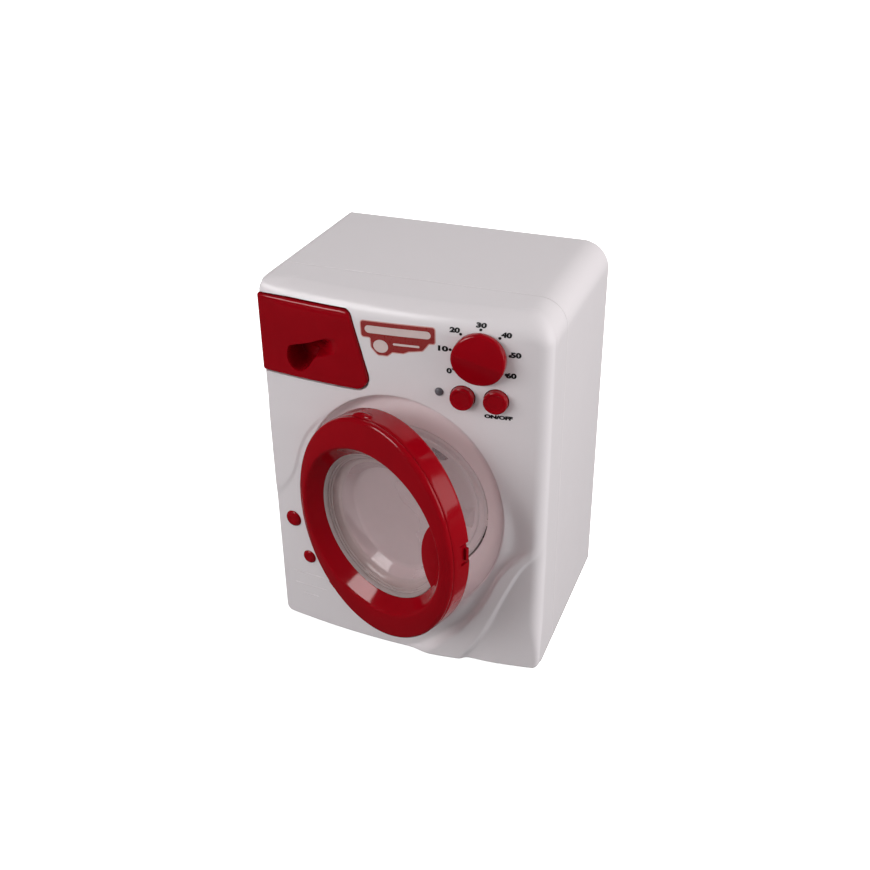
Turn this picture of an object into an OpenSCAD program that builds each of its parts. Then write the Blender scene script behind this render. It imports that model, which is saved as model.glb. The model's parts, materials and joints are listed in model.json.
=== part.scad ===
// Toy front-loading washing machine with a hinged porthole door, a turning drum,
// a detergent drawer, a timer dial and two push buttons. Millimetres, Z up, front towards -Y.
// The origin is on the surface it stands on, under the middle of the case.

/* [Case] */
// Width of the case
case_w = 163; // [150:1:180]
// Depth of the case, from its front corners to its back
case_d = 118; // [112:1:130]
// Height of the case
case_h = 220; // [214:1:240]
// How far the middle of the front stands out past its corners
front_bow = 7.4; // [5:0.2:9]
// Wall of the two case shells
wall = 2.2; // [1.8:0.1:2.6]
// Length of the front shell's skirt, from the front corners back to the seam
skirt = 29; // [25:1:33]
// Radius of the long side edges of the top
side_r = 15.5; // [12:0.5:18]
// Radius of the top front edge
brow_r = 13; // [10:0.5:16]
// Radius of the upright front edges
corner_r = 5.5; // [4:0.5:8]
// Radius of the bottom side edges
base_r = 4; // [3:0.5:6]
// Height of the raised ribbon on the lower front
ribbon_rise = 1.8; // [0.8:0.1:2.6]

/* [Porthole and door] */
// Distance of the porthole's centre below the top
door_drop = 122; // [118:1:126]
// Half width of the oval door ring
ring_rx = 56.3; // [53:0.5:58]
// Half height of the oval door ring
ring_rz = 67.2; // [62:0.5:69]
// Depth of the door ring from its front lip to its back
ring_d = 16.8; // [15.5:0.2:18]
// How far the closed door's lip stands in front of the middle of the front
door_proud = 9.7; // [8:0.1:11]
// Radius of the round crease inside the lip
crease_r = 50; // [48:0.5:51]
// Radius of the clear window
window_r = 43.2; // [40:0.2:43.6]
// Depth of the funnel from the lip to the window
funnel_d = 6.5; // [6:0.5:8]
// Wall of the door's mouldings
door_wall = 2; // [1.6:0.1:2.4]
// Depth of the clear window's bowl
bowl_d = 15; // [10:1:17]
// Angle at which the door stands ajar
door_ajar = 20.2; // [10:0.2:30]
// Hinge axis, inwards from the ring's left edge
hinge_in = 4.6; // [4:0.2:5.4]
// Hinge axis, behind the lip
hinge_back = 7.2; // [6.4:0.2:8]
// Radius of the hinge pin
hinge_pin_r = 1; // [0.8:0.1:1.2]
// Room between the door ring and the side of the recess
ring_gap = 2.8; // [2.2:0.2:4]
// Room behind the closed door ring
seat_gap = 2.3; // [1.6:0.1:3]
// Radius of the round hole in the floor of the recess
rim_r = 48.8; // [46:0.2:49.4]
// Width of the slot round the drum bezel
slot_w = 1; // [0.8:0.1:2.4]

/* [Drum and drive] */
// Outer radius of the drum
drum_r = 43.5; // [40:0.5:45]
// Length of the drum
drum_len = 56; // [46:1:58]
// Wall of the drum
drum_wall = 1.6; // [1.2:0.1:2]
// Radius of the drum axle
axle_r = 2; // [1.5:0.1:2.5]
// Tooth module of the gears
gear_module = 1.25; // [1.1:0.05:1.3]
// Teeth of the drum gear
gear_teeth = 40; // [36:1:44]
// Teeth of the motor pinion
pinion_teeth = 10; // [9:1:12]
// Thickness of the gears
gear_t = 4; // [3:0.5:5]
// Width of the motor
motor_w = 20; // [18:0.5:24]
// Height of the motor
motor_h = 15; // [14:0.5:18]
// Length of the motor
motor_len = 25; // [20:1:28]

/* [Controls] */
// Distance of the dial's centre in from the right side of the case
dial_in = 36; // [34:0.5:38]
// Distance of the dial's centre below the top
dial_drop = 23; // [22:0.5:26]
// Radius of the dial
dial_r = 14.2; // [12:0.1:14.6]
// Height of the dial
dial_h = 7; // [5:0.5:9]
// Angle between two numbers of the dial
dial_step = 39.7; // [30:0.1:42]
// Radius of the push buttons
button_r = 6.4; // [5.5:0.1:6.8]
// How far the push buttons stand out
button_h = 3.6; // [2.6:0.1:5]
// Travel of the push buttons
button_travel = 1.5; // [1:0.1:2]
// Half the distance between the push buttons
button_dx = 8.8; // [8.6:0.1:9.2]
// Distance of the push buttons below the dial's centre
button_drop = 23.2; // [22.8:0.2:25]

/* [Detergent drawer] */
// Distance of the drawer's upper edge below the top
drawer_drop = 7.3; // [6:0.1:8]
// Height of the drawer front
drawer_h = 44.7; // [44:0.1:46]
// Right end of the drawer front's upper edge, left of the middle
drawer_right = 25.5; // [24:0.5:28]
// How much further right the lower edge runs
drawer_slant = 12; // [8:0.5:13]
// How far the drawer front wraps round the left corner
drawer_wrap = 12; // [9:1:16]
// Depth of the tray
tray_d = 36; // [30:1:40]

/* [Power] */
// Radius of one cell
cell_r = 7.1; // [6.9:0.1:7.25]
// Length of one cell with its stud
cell_len = 50.2; // [49:0.1:50.5]
// Number of cells
cells = 3; // [2:1:4]
// Radius of the loudspeaker
speaker_r = 18; // [14:0.5:20]

/* [Clearances] */
// Running clearance round pins and shafts
run_gap = 0.05; // [0.02:0.01:0.09]
// Clearance between moving skins
skin_gap = 0.4; // [0.3:0.05:0.6]
// Clearance between fitted pieces
fit_gap = 0.15; // [0.1:0.05:0.25]

/* [Hidden] */
$fn = 48;
BIG = 400;
half_w = case_w / 2;
corner_y = -case_d / 2;
back_y = case_d / 2;
seam_y = corner_y + skirt;
mid_y = corner_y - front_bow;                 // middle of the bowed front
bow_R = (half_w * half_w + front_bow * front_bow) / (2 * front_bow);
bow_cy = mid_y + bow_R;                       // the front is a cylinder round this upright axis
door_z = case_h - door_drop;
dial_x = half_w - dial_in;
back_in = back_y - wall;                      // inner face of the back wall
function front_y(x) = bow_cy - sqrt(bow_R * bow_R - x * x);
function front_turn(x) = asin(x / bow_R);

lip_y = mid_y - door_proud;                   // the closed door's lip
floor_y = lip_y + ring_d + seat_gap;          // floor of the recess
dish_rx = ring_rx + ring_gap;
dish_rz = ring_rz + ring_gap;
hinge_x = -ring_rx + hinge_in;
hinge_y = lip_y + hinge_back;
knuckle_r = hinge_pin_r + 2;
knuckle_l = 10;                               // half length of the door's knuckle
ear_t = 4;
cut_l = knuckle_l + ear_t + 2;                // half length of the ring's cut for the hinge

bezel_r = rim_r - slot_w;
bezel_in = bezel_r - 7;
bezel_back = floor_y + wall + 1.6;
drum_y = bezel_back + 0.8;                    // the drum's mouth
drum_back = drum_y + drum_len;
gear_y = drum_back + 0.5;
gear_hub_y = gear_y + gear_t + 3.4;
bush_y = gear_hub_y + 0.3;
plate_y = bush_y + 2;
plate_t = 2.5;
plate_back = plate_y + plate_t;
bush_end = plate_back + 2;
axle_end = bush_end + 2.4;
gear_pitch_r = gear_module * gear_teeth / 2;
pinion_pitch_r = gear_module * pinion_teeth / 2;
motor_z = door_z + gear_pitch_r + pinion_pitch_r + 0.15;
motor_shaft_r = 1;
motor_back = plate_back + motor_len;

dial_z = case_h - dial_drop;
dial_turn = front_turn(dial_x);
pointer_turn = 164.5;                         // the dial's ridge points at the second number
board_in = 13;                                // the control board's front, in from the face
board_t = 1.6;
board_places = [[-24, -button_drop - 6.5], [20, -button_drop + 6]];
switch_h = 5;
plunger_out = board_in - switch_h - 1.6;      // front end of the switch plungers

drawer_top = case_h - drawer_drop;
drawer_low = drawer_top - drawer_h;
drawer_proud = 1;
drawer_left = half_w + drawer_proud;
tray_left = -half_w + wall + 4;
tray_right = -drawer_right - 5;
tray_low = drawer_low + 3;
tray_top = drawer_low + 0.82 * drawer_h;
tray_wall = 1.5;
tray_back = corner_y + tray_d;
guide_t = 1.6;

cell_pitch = 2 * cell_r + 0.6;
box_wall = 1.6;
box_w = cells * cell_pitch + 0.4;
box_l = cell_len + box_wall + 5.4;
box_z = 12;
box_front = back_in - 2 * cell_r - 1.6 - box_wall;
door_lip = 2;
speaker_z = drawer_low + 4;
post_r = 4.6;
screw_r = 1.4;
post_xs = half_w - wall - post_r - 2.6;
post_low = 16;
post_mid = door_z + 44;
post_top = case_h - 17;
post_places = [[-post_xs, post_low], [post_xs, post_low], [-post_xs, post_mid], [post_xs, post_mid],
               [2, post_top]];
plate_x = 46;
plate_low = door_z - 26;
plate_high = door_z + 50;
plate_places = [[-plate_x, plate_low], [plate_x, plate_low], [-plate_x, plate_high],
                [plate_x, plate_high]];

white = [0.90, 0.88, 0.89];
red = [0.62, 0.02, 0.06];
grey = [0.70, 0.69, 0.70];
steel = [0.72, 0.73, 0.75];
dark = [0.15, 0.15, 0.17];

// ---- shared shapes ----

// cylinder along +Y from y0 to y1
module rod(r, y0, y1, facets = 48) {
    translate([0, y0, 0]) rotate([-90, 0, 0]) cylinder(r = r, h = y1 - y0, $fn = facets);
}

// outline in X and Z, drawn out along Y from y0 to y1
module slab(y0, y1) {
    translate([0, y1, 0]) rotate([90, 0, 0]) linear_extrude(height = y1 - y0) children();
}

// outline of radius and Y, turned round the Y axis
module turned() {
    rotate([-90, 0, 0]) rotate_extrude($fn = 96) children();
}

// box from its low corner to its high corner
module block(low, high) {
    translate(low) cube([high[0] - low[0], high[1] - low[1], high[2] - low[2]]);
}

function oval(rx, rz) = [for (i = [0:71]) [rx * cos(5 * i), rz * sin(5 * i)]];

// things drawn flat against the bowed front: X and Z as seen, +Y into the case
module on_front(x, z) {
    translate([x, front_y(x), z]) rotate([0, 0, front_turn(x)]) children();
}

// the group of controls stands square to the front at the dial
module on_panel() {
    on_front(dial_x, dial_z) children();
}

// ---- the case ----

// outline of the case from the front, set in by g
module face_outline(g) {
    hw = half_w - g;
    top = case_h - g;
    rt = side_r - g;
    rb = base_r - g;
    translate([-hw, g + rb]) square([2 * hw, top - rt - g - rb]);
    translate([-hw + rt, case_h / 2]) square([2 * (hw - rt), top - case_h / 2]);
    translate([-hw + rb, g]) square([2 * (hw - rb), case_h / 2]);
    for (s = [-1, 1]) {
        translate([s * (hw - rt), top - rt]) circle(rt, $fn = 64);
        translate([s * (hw - rb), g + rb]) circle(rb);
    }
}

// outline of the case from above, set in by g
module plan_outline(g) {
    hw = half_w - g;
    r = corner_r - g;
    kx = hw - r;
    ky = bow_cy - sqrt(pow(bow_R - g - r, 2) - kx * kx);
    back_g = back_y - g;
    intersection() {
        translate([0, bow_cy]) circle(bow_R - g, $fn = 720);
        translate([-kx, -case_d]) square([2 * kx, case_d]);
    }
    translate([-hw, ky]) square([2 * hw, back_g - ky]);
    for (s = [-1, 1]) translate([s * kx, ky]) circle(r);
}

// the whole case as one solid, set in by g, with the brow rounded along the bow
module case_solid(g) {
    rb = brow_r - g;
    intersection() {
        translate([0, 0, g]) linear_extrude(height = case_h - 2 * g) plan_outline(g);
        slab(-BIG / 2, BIG / 2) face_outline(g);
        translate([0, bow_cy, 0]) rotate_extrude($fn = 720) {
            translate([0, g]) square([bow_R - g - rb, case_h - 2 * g]);
            translate([0, g]) square([bow_R - g, case_h - 2 * g - rb]);
            translate([bow_R - g - rb, case_h - g - rb]) circle(rb, $fn = 64);
        }
    }
}

module before_y(y) { block([-BIG, -BIG, -BIG], [BIG, y, BIG]); }
module behind_y(y) { block([-BIG, y, -BIG], [BIG, BIG, BIG]); }

// outline of the raised ribbon that sweeps from the foot of the front up to its right edge
module ribbon_outline() {
    polygon([[14, 0], [25, 10], [36, 20.5], [42.5, 30], [48, 39], [52, 47], [56.5, 57.5], [65, 73],
        [74, 82], [79, 86.5], [79, 81], [72.5, 70.5], [68, 63], [64, 55], [60.5, 46.5], [56.5, 36],
        [53, 27], [47.5, 16], [39.5, 0]]);
}

// points round an arc from angle a0 to a1
function arc(c, r, a0, a1) = [for (i = [0:8]) let (a = a0 + (a1 - a0) * i / 8)
    [c[0] + r * cos(a), c[1] + r * sin(a)]];

drawer_lean = atan(drawer_slant / drawer_h);
drawer_rt = 4;                                // its upper and lower right corners
drawer_rb = 6;

// outline of the drawer front, grown by g
module drawer_outline(g) {
    ct = [-drawer_right - drawer_rt * (1 - sin(drawer_lean)) / cos(drawer_lean), drawer_top - drawer_rt];
    cb = [-drawer_right + drawer_slant - drawer_rb * (1 + sin(drawer_lean)) / cos(drawer_lean),
        drawer_low + drawer_rb];
    polygon(concat([[-BIG / 4, drawer_top + g]], arc(ct, drawer_rt + g, 90, drawer_lean),
        arc(cb, drawer_rb + g, drawer_lean, -90), [[-BIG / 4, drawer_low - g]]));
}

module drawer_opening() {
    intersection() {
        slab(-BIG, corner_y + drawer_wrap + skin_gap) drawer_outline(skin_gap);
        block([-BIG, -BIG, 0], [0, corner_y + drawer_wrap + skin_gap, BIG]);
    }
}

module front_shell() {
    color(white) difference() {
        union() {
            difference() {
                union() {
                    case_solid(0);
                    intersection() {
                        case_solid(-ribbon_rise);
                        slab(-BIG / 2, corner_y + 4) ribbon_outline();
                    }
                }
                case_solid(wall);
                behind_y(seam_y);
            }
            intersection() {
                case_solid(wall / 2);
                union() {
                    translate([0, 0, door_z]) slab(mid_y, floor_y + wall)
                        polygon(oval(dish_rx + wall, dish_rz + wall));
                    for (p = post_places) translate([p[0], 0, p[1]]) rod(post_r, mid_y, seam_y);
                    on_panel() for (s = [-1, 1]) translate([s * 12, 0, 8]) rod(2.4, 0, timer_in);
                    on_panel() for (p = board_places) translate([p[0], 0, p[1]]) rod(2.4, 0, board_in);
                }
            }
        }
        // the recess and its round hole
        translate([0, 0, door_z]) slab(-BIG / 2, floor_y) polygon(oval(dish_rx, dish_rz));
        rim_hole();
        drawer_opening();
        for (p = post_places) translate([p[0], 0, p[1]]) rod(screw_r + run_gap, seam_y - 14, seam_y + 1);
        on_panel() {
            rod(timer_shaft_r + skin_gap, -5, 8);
            for (s = [-1, 1]) {
                translate([s * button_dx, 0, -button_drop]) rod(button_r + skin_gap, -6, 6);
                translate([s * 12, 0, 8]) rod(1 + run_gap, wall + 1, timer_in + 1);
            }
            translate([led_x, 0, led_z]) rod(led_r + fit_gap, -5, 5);
            for (p = board_places) translate([p[0], 0, p[1]]) rod(1 + run_gap, wall + 1, board_in + 1);
        }
        for (c = cap_places) on_front(c[0], c[1]) rod(cap_stem_r + fit_gap, -5, 6);
        // slots for the hinge bracket's arms
        for (s = [-1, 1]) bracket_arm(s, fit_gap);
    }
}

module rim_hole() {
    translate([0, 0, door_z]) rod(rim_r, floor_y - 20, floor_y + 20, 120);
}

// Rear half of the case, with its seam tongue, screw posts, battery opening and sound holes
module rear_housing() {
    color(white) difference() {
        union() {
            difference() {
                case_solid(0);
                case_solid(wall);
                before_y(seam_y);
            }
            difference() {
                case_solid(wall / 2);
                case_solid(wall + 1.2);
                before_y(seam_y);
                behind_y(seam_y + 3);
            }
            difference() {
                case_solid(wall + fit_gap);
                case_solid(wall + 1.2);
                before_y(seam_y - 2.4);
                behind_y(seam_y + 1);
                drawer_zone();
            }
            for (p = post_places) translate([p[0], 0, p[1]]) rod(post_r, seam_y + 0.1, back_y - 0.5);
            for (p = plate_places) translate([p[0], 0, p[1]]) rod(post_r - 0.6, plate_back, back_y - 0.5);
            for (a = speaker_angles) speaker_at(a, speaker_r + 3.2) rod(2.4, back_in - 4, back_y - 0.5);
            translate([0, 0, cover_screw_z]) rod(4.4, back_in - 7, back_y - 0.5);
        }
        for (p = post_places) translate([p[0], 0, p[1]]) {
            rod(screw_r + 0.3, seam_y - 1, back_y);
            rod(screw_r * 2 + 0.2, seam_y + 3, back_y + 1);
        }
        for (p = plate_places) translate([p[0], 0, p[1]])
            rod(screw_r + run_gap, plate_back - 1, plate_back + 12);
        for (a = speaker_angles) speaker_at(a, speaker_r + 3.2)
            rod(1 + run_gap, back_in - 5, back_in);
        // battery opening with a rebate for the cover
        block([-box_w / 2, back_in - 1, box_z + box_wall], [box_w / 2, back_y + 1, box_z + box_l]);
        cover_plate(fit_gap, 1);
        translate([0, 0, cover_screw_z]) {
            rod(1 + run_gap, back_in - 6, back_y + 1);
            rod(2.9 + fit_gap, back_y - 2.75, back_y + 1);
        }
        // sound holes
        for (ring = [0:2]) for (k = [0:max(6 * ring - 1, 0)])
            translate([5 * ring * cos(60 * k / max(ring, 1)), 0, speaker_z + 5 * ring * sin(60 * k / max(ring, 1))])
                rod(1.2, back_in - 1, back_y + 1, 24);
    }
}

// space kept free behind the drawer front
module drawer_zone() {
    block([-BIG, -BIG, drawer_low - 4], [-drawer_right + drawer_slant + 4, seam_y + 0.1, BIG]);
}

module case_screws() {
    color(steel) for (p = post_places) translate([p[0], 0, p[1]]) {
        rod(screw_r, seam_y - 12, seam_y + 3.2);
        rod(screw_r * 2, seam_y + 3, seam_y + 5, 32);
    }
}

// ---- porthole ----

bezel_tabs = [-5, 115, 235];

module drum_bezel() {
    color(grey) translate([0, 0, door_z]) {
        turned() polygon([[bezel_in, floor_y + 0.6], [bezel_in + 2, floor_y + 0.6],
            [bezel_in + 2.6, floor_y + 1.4], [bezel_r - 1.2, floor_y + 0.5], [bezel_r, floor_y + 1],
            [bezel_r, bezel_back], [bezel_in, bezel_back]]);
        for (a = bezel_tabs) rotate([0, -a, 0]) {
            block([bezel_r - 1, floor_y + wall + 0.05, -4], [rim_r + 4, bezel_back, 4]);
            block([bezel_r - 1, floor_y + 0.8, -1.3], [rim_r - 0.2, bezel_back - 0.2, 1.3]);
        }
    }
}

// ---- door, drawn closed and then turned ajar round its hinge ----

module ajar() {
    translate([hinge_x, hinge_y, 0]) rotate([0, 0, -door_ajar]) translate([-hinge_x, -hinge_y, 0])
        children();
}

groove_d = 5.4;
window_seat = funnel_d + door_wall;
grip_r = 33;
grip_x = 31 + grip_r;

module door_front_ring() {
    color(red) ajar() difference() {
        translate([0, lip_y, door_z]) difference() {
            union() {
                difference() {
                    union() {
                        slab(1, groove_d - 0.8) polygon(oval(ring_rx, ring_rz));
                        slab(0, groove_d - 0.8) polygon(oval(ring_rx - 1, ring_rz - 1));
                    }
                    rod(crease_r - 1, -3, 9, 96);
                    slab(door_wall, 9) difference() {
                        polygon(oval(ring_rx - door_wall, ring_rz - door_wall));
                        circle(crease_r + 1, $fn = 96);
                    }
                }
                turned() polygon([[crease_r, -1.2], [crease_r + 2, 0.4], [crease_r + 1, door_wall],
                    [window_r + door_wall, window_seat], [window_r, window_seat],
                    [window_r, funnel_d], [crease_r - 2, 0.6]]);
                intersection() {
                    rod(window_r + 1, funnel_d - 0.4, window_seat - 0.6, 96);
                    translate([grip_x, 0, -2]) rod(grip_r, 0, 12, 96);
                }
            }
        }
        hinge_cut();
    }
}

// room inside the ring for the hinge arms
module hinge_cut() {
    block([hinge_x - 12, hinge_y - knuckle_r - 0.7, door_z - cut_l], [hinge_x + 4.4, lip_y + ring_d + 1, door_z + cut_l]);
}

module door_back_ring() {
    color(red) ajar() difference() {
        union() {
            difference() {
                translate([0, lip_y, door_z]) union() {
                    slab(groove_d - 0.6, ring_d - 1) difference() {
                        polygon(oval(ring_rx, ring_rz));
                        polygon(oval(ring_rx - door_wall, ring_rz - door_wall));
                    }
                    slab(ring_d - door_wall, ring_d) difference() {
                        polygon(oval(ring_rx - 1, ring_rz - 1));
                        circle(window_r - 1.4, $fn = 96);
                    }
                    turned() polygon([[window_r - 1.4, window_seat + 2.1], [window_r + 1, window_seat + 2.1],
                        [window_r + 1, ring_d], [window_r - 1.4, ring_d]]);
                    for (a = clip_angles) rotate([0, -a, 0]) block([window_r, window_seat + 2.1, -5],
                        [crease_r + 1, ring_d - 0.5, -3.4]);
                }
                hinge_cut();
                latch_notch();
            }
            // lug on top
            block([-15.6, lip_y + groove_d + 0.2, door_z + ring_rz - 4],
                [-1, lip_y + groove_d + 2.4, door_z + ring_rz + ring_gap - 0.8]);
            // knuckle and its web
            translate([hinge_x, hinge_y, door_z - knuckle_l]) cylinder(r = knuckle_r, h = 2 * knuckle_l);
            block([hinge_x, hinge_y - knuckle_r + 0.6, door_z - knuckle_l],
                [hinge_x + 4.2, hinge_y + knuckle_r - 0.6, door_z + knuckle_l]);
            block([hinge_x + 3.4, lip_y + window_seat, door_z - knuckle_l],
                [hinge_x + 5.4, lip_y + ring_d - 0.6, door_z + knuckle_l]);
        }
        translate([hinge_x, hinge_y, door_z - 20]) cylinder(r = hinge_pin_r + run_gap, h = 40);
    }
}

clip_angles = [95, 215, 335];

// clear bowl, clamped between the two rings
module door_window() {
    d0 = window_seat + 0.1;
    d1 = d0 + 1.8;
    r0 = window_r - 1.7;
    color([0.85, 0.88, 0.9, 0.35]) ajar() translate([0, lip_y, door_z]) turned()
        polygon([[window_r + door_wall, d0], [window_r + door_wall, d1], [r0, d1], [r0 - 2.2, d1 + bowl_d * 0.35],
            [r0 - 3.4, d1 + bowl_d * 0.4], [r0 - 6.4, d1 + bowl_d], [0, d1 + bowl_d],
            [0, d1 + bowl_d - 1.8], [r0 - 7.8, d1 + bowl_d - 1.8], [r0 - 4.8, d1 + bowl_d * 0.4 - 1.2],
            [r0 - 3.4, d1 + bowl_d * 0.35 - 1.4], [r0 - 1.4, d0]]);
}

// arms that reach through the floor of the recess and carry the hinge pin
module bracket_arm(s, g) {
    z0 = s > 0 ? knuckle_l + 0.5 : -knuckle_l - 0.5 - ear_t;
    translate([0, 0, door_z + z0]) {
        block([hinge_x - 2 - g, hinge_y, -g], [hinge_x + 2 + g, floor_y + wall + 2, ear_t + g]);
    }
}

module hinge_bracket() {
    color(white) difference() {
        union() {
            for (s = [-1, 1]) {
                bracket_arm(s, 0);
                translate([hinge_x, hinge_y, door_z + (s > 0 ? knuckle_l + 0.5 : -knuckle_l - 0.5 - ear_t)])
                    cylinder(r = knuckle_r - 0.4, h = ear_t);
            }
            block([hinge_x - 4.5, floor_y + wall + 0.1, door_z - cut_l - 4],
                [hinge_x + 4.5, floor_y + wall + 2.1, door_z + cut_l + 4]);
        }
        translate([hinge_x, hinge_y, door_z - 20]) cylinder(r = hinge_pin_r + run_gap, h = 40);
        rim_hole();
    }
}

module hinge_pin() {
    color(steel) translate([hinge_x, hinge_y, door_z - knuckle_l - ear_t - 0.5])
        cylinder(r = hinge_pin_r, h = 2 * (knuckle_l + ear_t + 0.5));
}

// springy tongue in a notch of the ring's right side, with a small nub near the back
latch_z = door_z + 5;

module latch_notch() {
    block([ring_rx - 4, lip_y + ring_d - 7.6, latch_z - 6], [ring_rx + 4, lip_y + ring_d + 1, latch_z + 6]);
}

module door_latch() {
    y1 = lip_y + ring_d;
    color(red) ajar() {
        block([ring_rx - 5.4, y1 - 7.2, latch_z - 8], [ring_rx - 3.7, y1 - 2.5, latch_z + 8]);
        block([ring_rx - 4, y1 - 7.2, latch_z - 5.4], [ring_rx - 0.9, y1 - 2.5, latch_z + 5.4]);
        block([ring_rx - 1, y1 - 4.4, latch_z - 3.6], [ring_rx + 0.7, y1 - 2.5, latch_z + 3.6]);
    }
}

// ---- red caps low on the left ----

cap_stem_r = 2.6;
cap_places = [[11.2 - half_w, door_z - 26.2, 5.2], [20.6 - half_w, door_z - 50.7, 4.3]];

module cap(c) {
    color(red) on_front(c[0], c[1]) {
        intersection() {
            translate([0, 2 * c[2] - 1.6, 0]) sphere(r = 2.2 * c[2], $fn = 64);
            rod(c[2], -4, -0.05);
        }
        rod(cap_stem_r, -0.3, wall + 1.5);
        rod(cap_stem_r + 1.2, wall + 0.15, wall + 1.5);
    }
}

module upper_cap() { cap(cap_places[0]); }
module lower_cap() { cap(cap_places[1]); }

// ---- controls ----

timer_shaft_r = 3;
timer_in = 8;                                 // front of the timer case, in from the face
timer_case_r = 13;
timer_case_d = 7;
led_x = -21.4;
led_z = -21.8;
led_r = 2.3;
face_gap = 0.35;                              // between the dial and the front

module timer_knob() {
    color(red) on_panel() difference() {
        rotate([90, 0, 0]) translate([0, 0, face_gap]) {
            cylinder(r = dial_r, h = 2.6, $fn = 72);
            translate([0, 0, 2.6]) rotate_extrude($fn = 72) polygon([[0, 0], [dial_r, 0],
                [dial_r - 0.4, dial_h * 0.35], [dial_r - 1.8, dial_h - 2.6], [0, dial_h - 2.6]]);
        }
        // two sloping faces leave the grip ridge
        for (s = [0, 180]) rotate([0, -pointer_turn + s, 0])
            translate([-BIG / 4, -dial_h - face_gap, 1.2]) rotate([-13, 0, 0])
                translate([0, -10, 0]) cube([BIG / 2, 10, 30]);
        rod(timer_shaft_r - 0.5 + run_gap, -4, 1);
    }
}

module timer_shaft() {
    color(dark) on_panel() {
        rod(timer_shaft_r, -face_gap, timer_in + timer_case_d + 1);
        rod(timer_shaft_r - 0.5, -3.6, 0);
    }
}

module timer_case() {
    color(grey) on_panel() difference() {
        union() {
            rod(timer_case_r, timer_in + 0.05, timer_in + timer_case_d);
            for (s = [-1, 1]) translate([s * 12, 0, 8]) rod(2.6, timer_in + 0.05, timer_in + 2);
        }
        rod(timer_case_r - 1.4, timer_in + 1.6, timer_in + timer_case_d - 1.4);
        rod(timer_shaft_r + run_gap, 0, 30);
        for (s = [-1, 1]) translate([s * 12, 0, 8]) {
            rod(1 + run_gap, 0, 20);
            rod(2.2, timer_in + 2, 20);
        }
    }
}

module timer_screws() {
    color(steel) on_panel() for (s = [-1, 1]) translate([s * 12, 0, 8]) {
        rod(1, timer_in - 4, timer_in + 2.2);
        rod(1.9, timer_in + 2.05, timer_in + 3.2, 32);
    }
}

// seven-notch wheel and the leaf that clicks in it
module click_wheel() {
    color(grey) on_panel() difference() {
        rod(8.4, timer_in + 1.9, timer_in + timer_case_d - 1.7);
        rod(timer_shaft_r + run_gap, 0, 30);
        for (k = [0:8]) rotate([0, dial_step * k, 0]) translate([0, 0, -9.4])
            rod(1.9, timer_in, timer_in + timer_case_d, 24);
    }
}

module click_spring() {
    color(steel) on_panel() {
        block([-3.6, timer_in + 2.4, -10.9], [3.6, timer_in + timer_case_d - 2.4, -10.4]);
        translate([0, 0, -9.9]) rod(0.9, timer_in + 2.4, timer_in + timer_case_d - 2.4, 24);
    }
}

module board_outline() {
    translate([-27, -button_drop - 10]) square([51, 19.5]);
}

module control_board() {
    color([0.1, 0.35, 0.2]) on_panel() difference() {
        slab(board_in + 0.05, board_in + board_t) board_outline();
        for (p = board_places) translate([p[0], 0, p[1]]) rod(1 + run_gap, 5, 30);
        for (x = [-1, 1]) translate([led_x + 1.27 * x, 0, led_z]) rod(0.35 + run_gap, 5, 30, 24);
    }
}

module board_screws() {
    color(steel) on_panel() for (p = board_places) translate([p[0], 0, p[1]]) {
        rod(1, board_in - 6, board_in + board_t + 0.3);
        rod(1.9, board_in + board_t + 0.05, board_in + board_t + 1.2, 32);
    }
}

module switch_body(s) {
    color(dark) on_panel() translate([s * button_dx, 0, -button_drop]) difference() {
        block([-4, board_in - switch_h, -4], [4, board_in, 4]);
        rod(1.7 + run_gap, board_in - switch_h - 1, board_in - 0.6);
    }
}

module plunger(s) {
    color(grey) on_panel() translate([s * button_dx, 0, -button_drop])
        rod(1.7, plunger_out, board_in - 0.8 - button_travel);
}

module push_button(s) {
    color(red) on_panel() translate([s * button_dx, 0, -button_drop]) {
        rod(button_r - 0.7, -button_h, 0, 64);
        rod(button_r, -button_h + 0.7, wall + 1, 64);
        rod(button_r + 1.2, wall + 0.3, wall + 1.6);
        rod(2.4, wall + 1, plunger_out - 0.02);
    }
}

module mode_switch() { switch_body(-1); }
module power_switch() { switch_body(1); }
module mode_plunger() { plunger(-1); }
module power_plunger() { plunger(1); }
module mode_button() { push_button(-1); }
module power_button() { push_button(1); }

// signal lamp on its two legs
module signal_led() {
    color([0.45, 0.43, 0.46]) on_panel() translate([led_x, 0, led_z]) {
        rod(led_r, 0.1, 6);
        rod(led_r + 0.5, wall + 0.9, wall + 1.9);
        for (x = [-1, 1]) translate([1.27 * x, 0, 0]) rod(0.35, 5.8, board_in + board_t + 1, 24);
    }
}

// ---- drive ----

function gear_outline(n, phase) = let (rp = gear_module * n / 2, step = 360 / n)
    [for (i = [0:n - 1]) for (k = [[-0.26, -1.15], [-0.115, 0.85], [0.115, 0.85], [0.26, -1.15]])
        let (a = phase + step * (i + k[0]), r = rp + gear_module * k[1]) [r * cos(a), r * sin(a)]];

module drum() {
    color(grey) translate([0, 0, door_z]) difference() {
        union() {
            turned() polygon([[drum_r - drum_wall, drum_y], [drum_r + 1.2, drum_y], [drum_r + 1.2, drum_y + 2],
                [drum_r, drum_y + 2], [drum_r, drum_back], [0, drum_back], [0, drum_back - 2],
                [drum_r - drum_wall, drum_back - 2]]);
            for (a = [30, 150, 270]) rotate([0, a, 0]) slab(drum_y + 5, drum_back - 1)
                polygon([[drum_r - drum_wall / 2, -5], [drum_r - 9, -1.2], [drum_r - 9, 1.2],
                    [drum_r - drum_wall / 2, 5]]);
        }
        rod(axle_r + run_gap, drum_y, drum_back + 5);
    }
}

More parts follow.
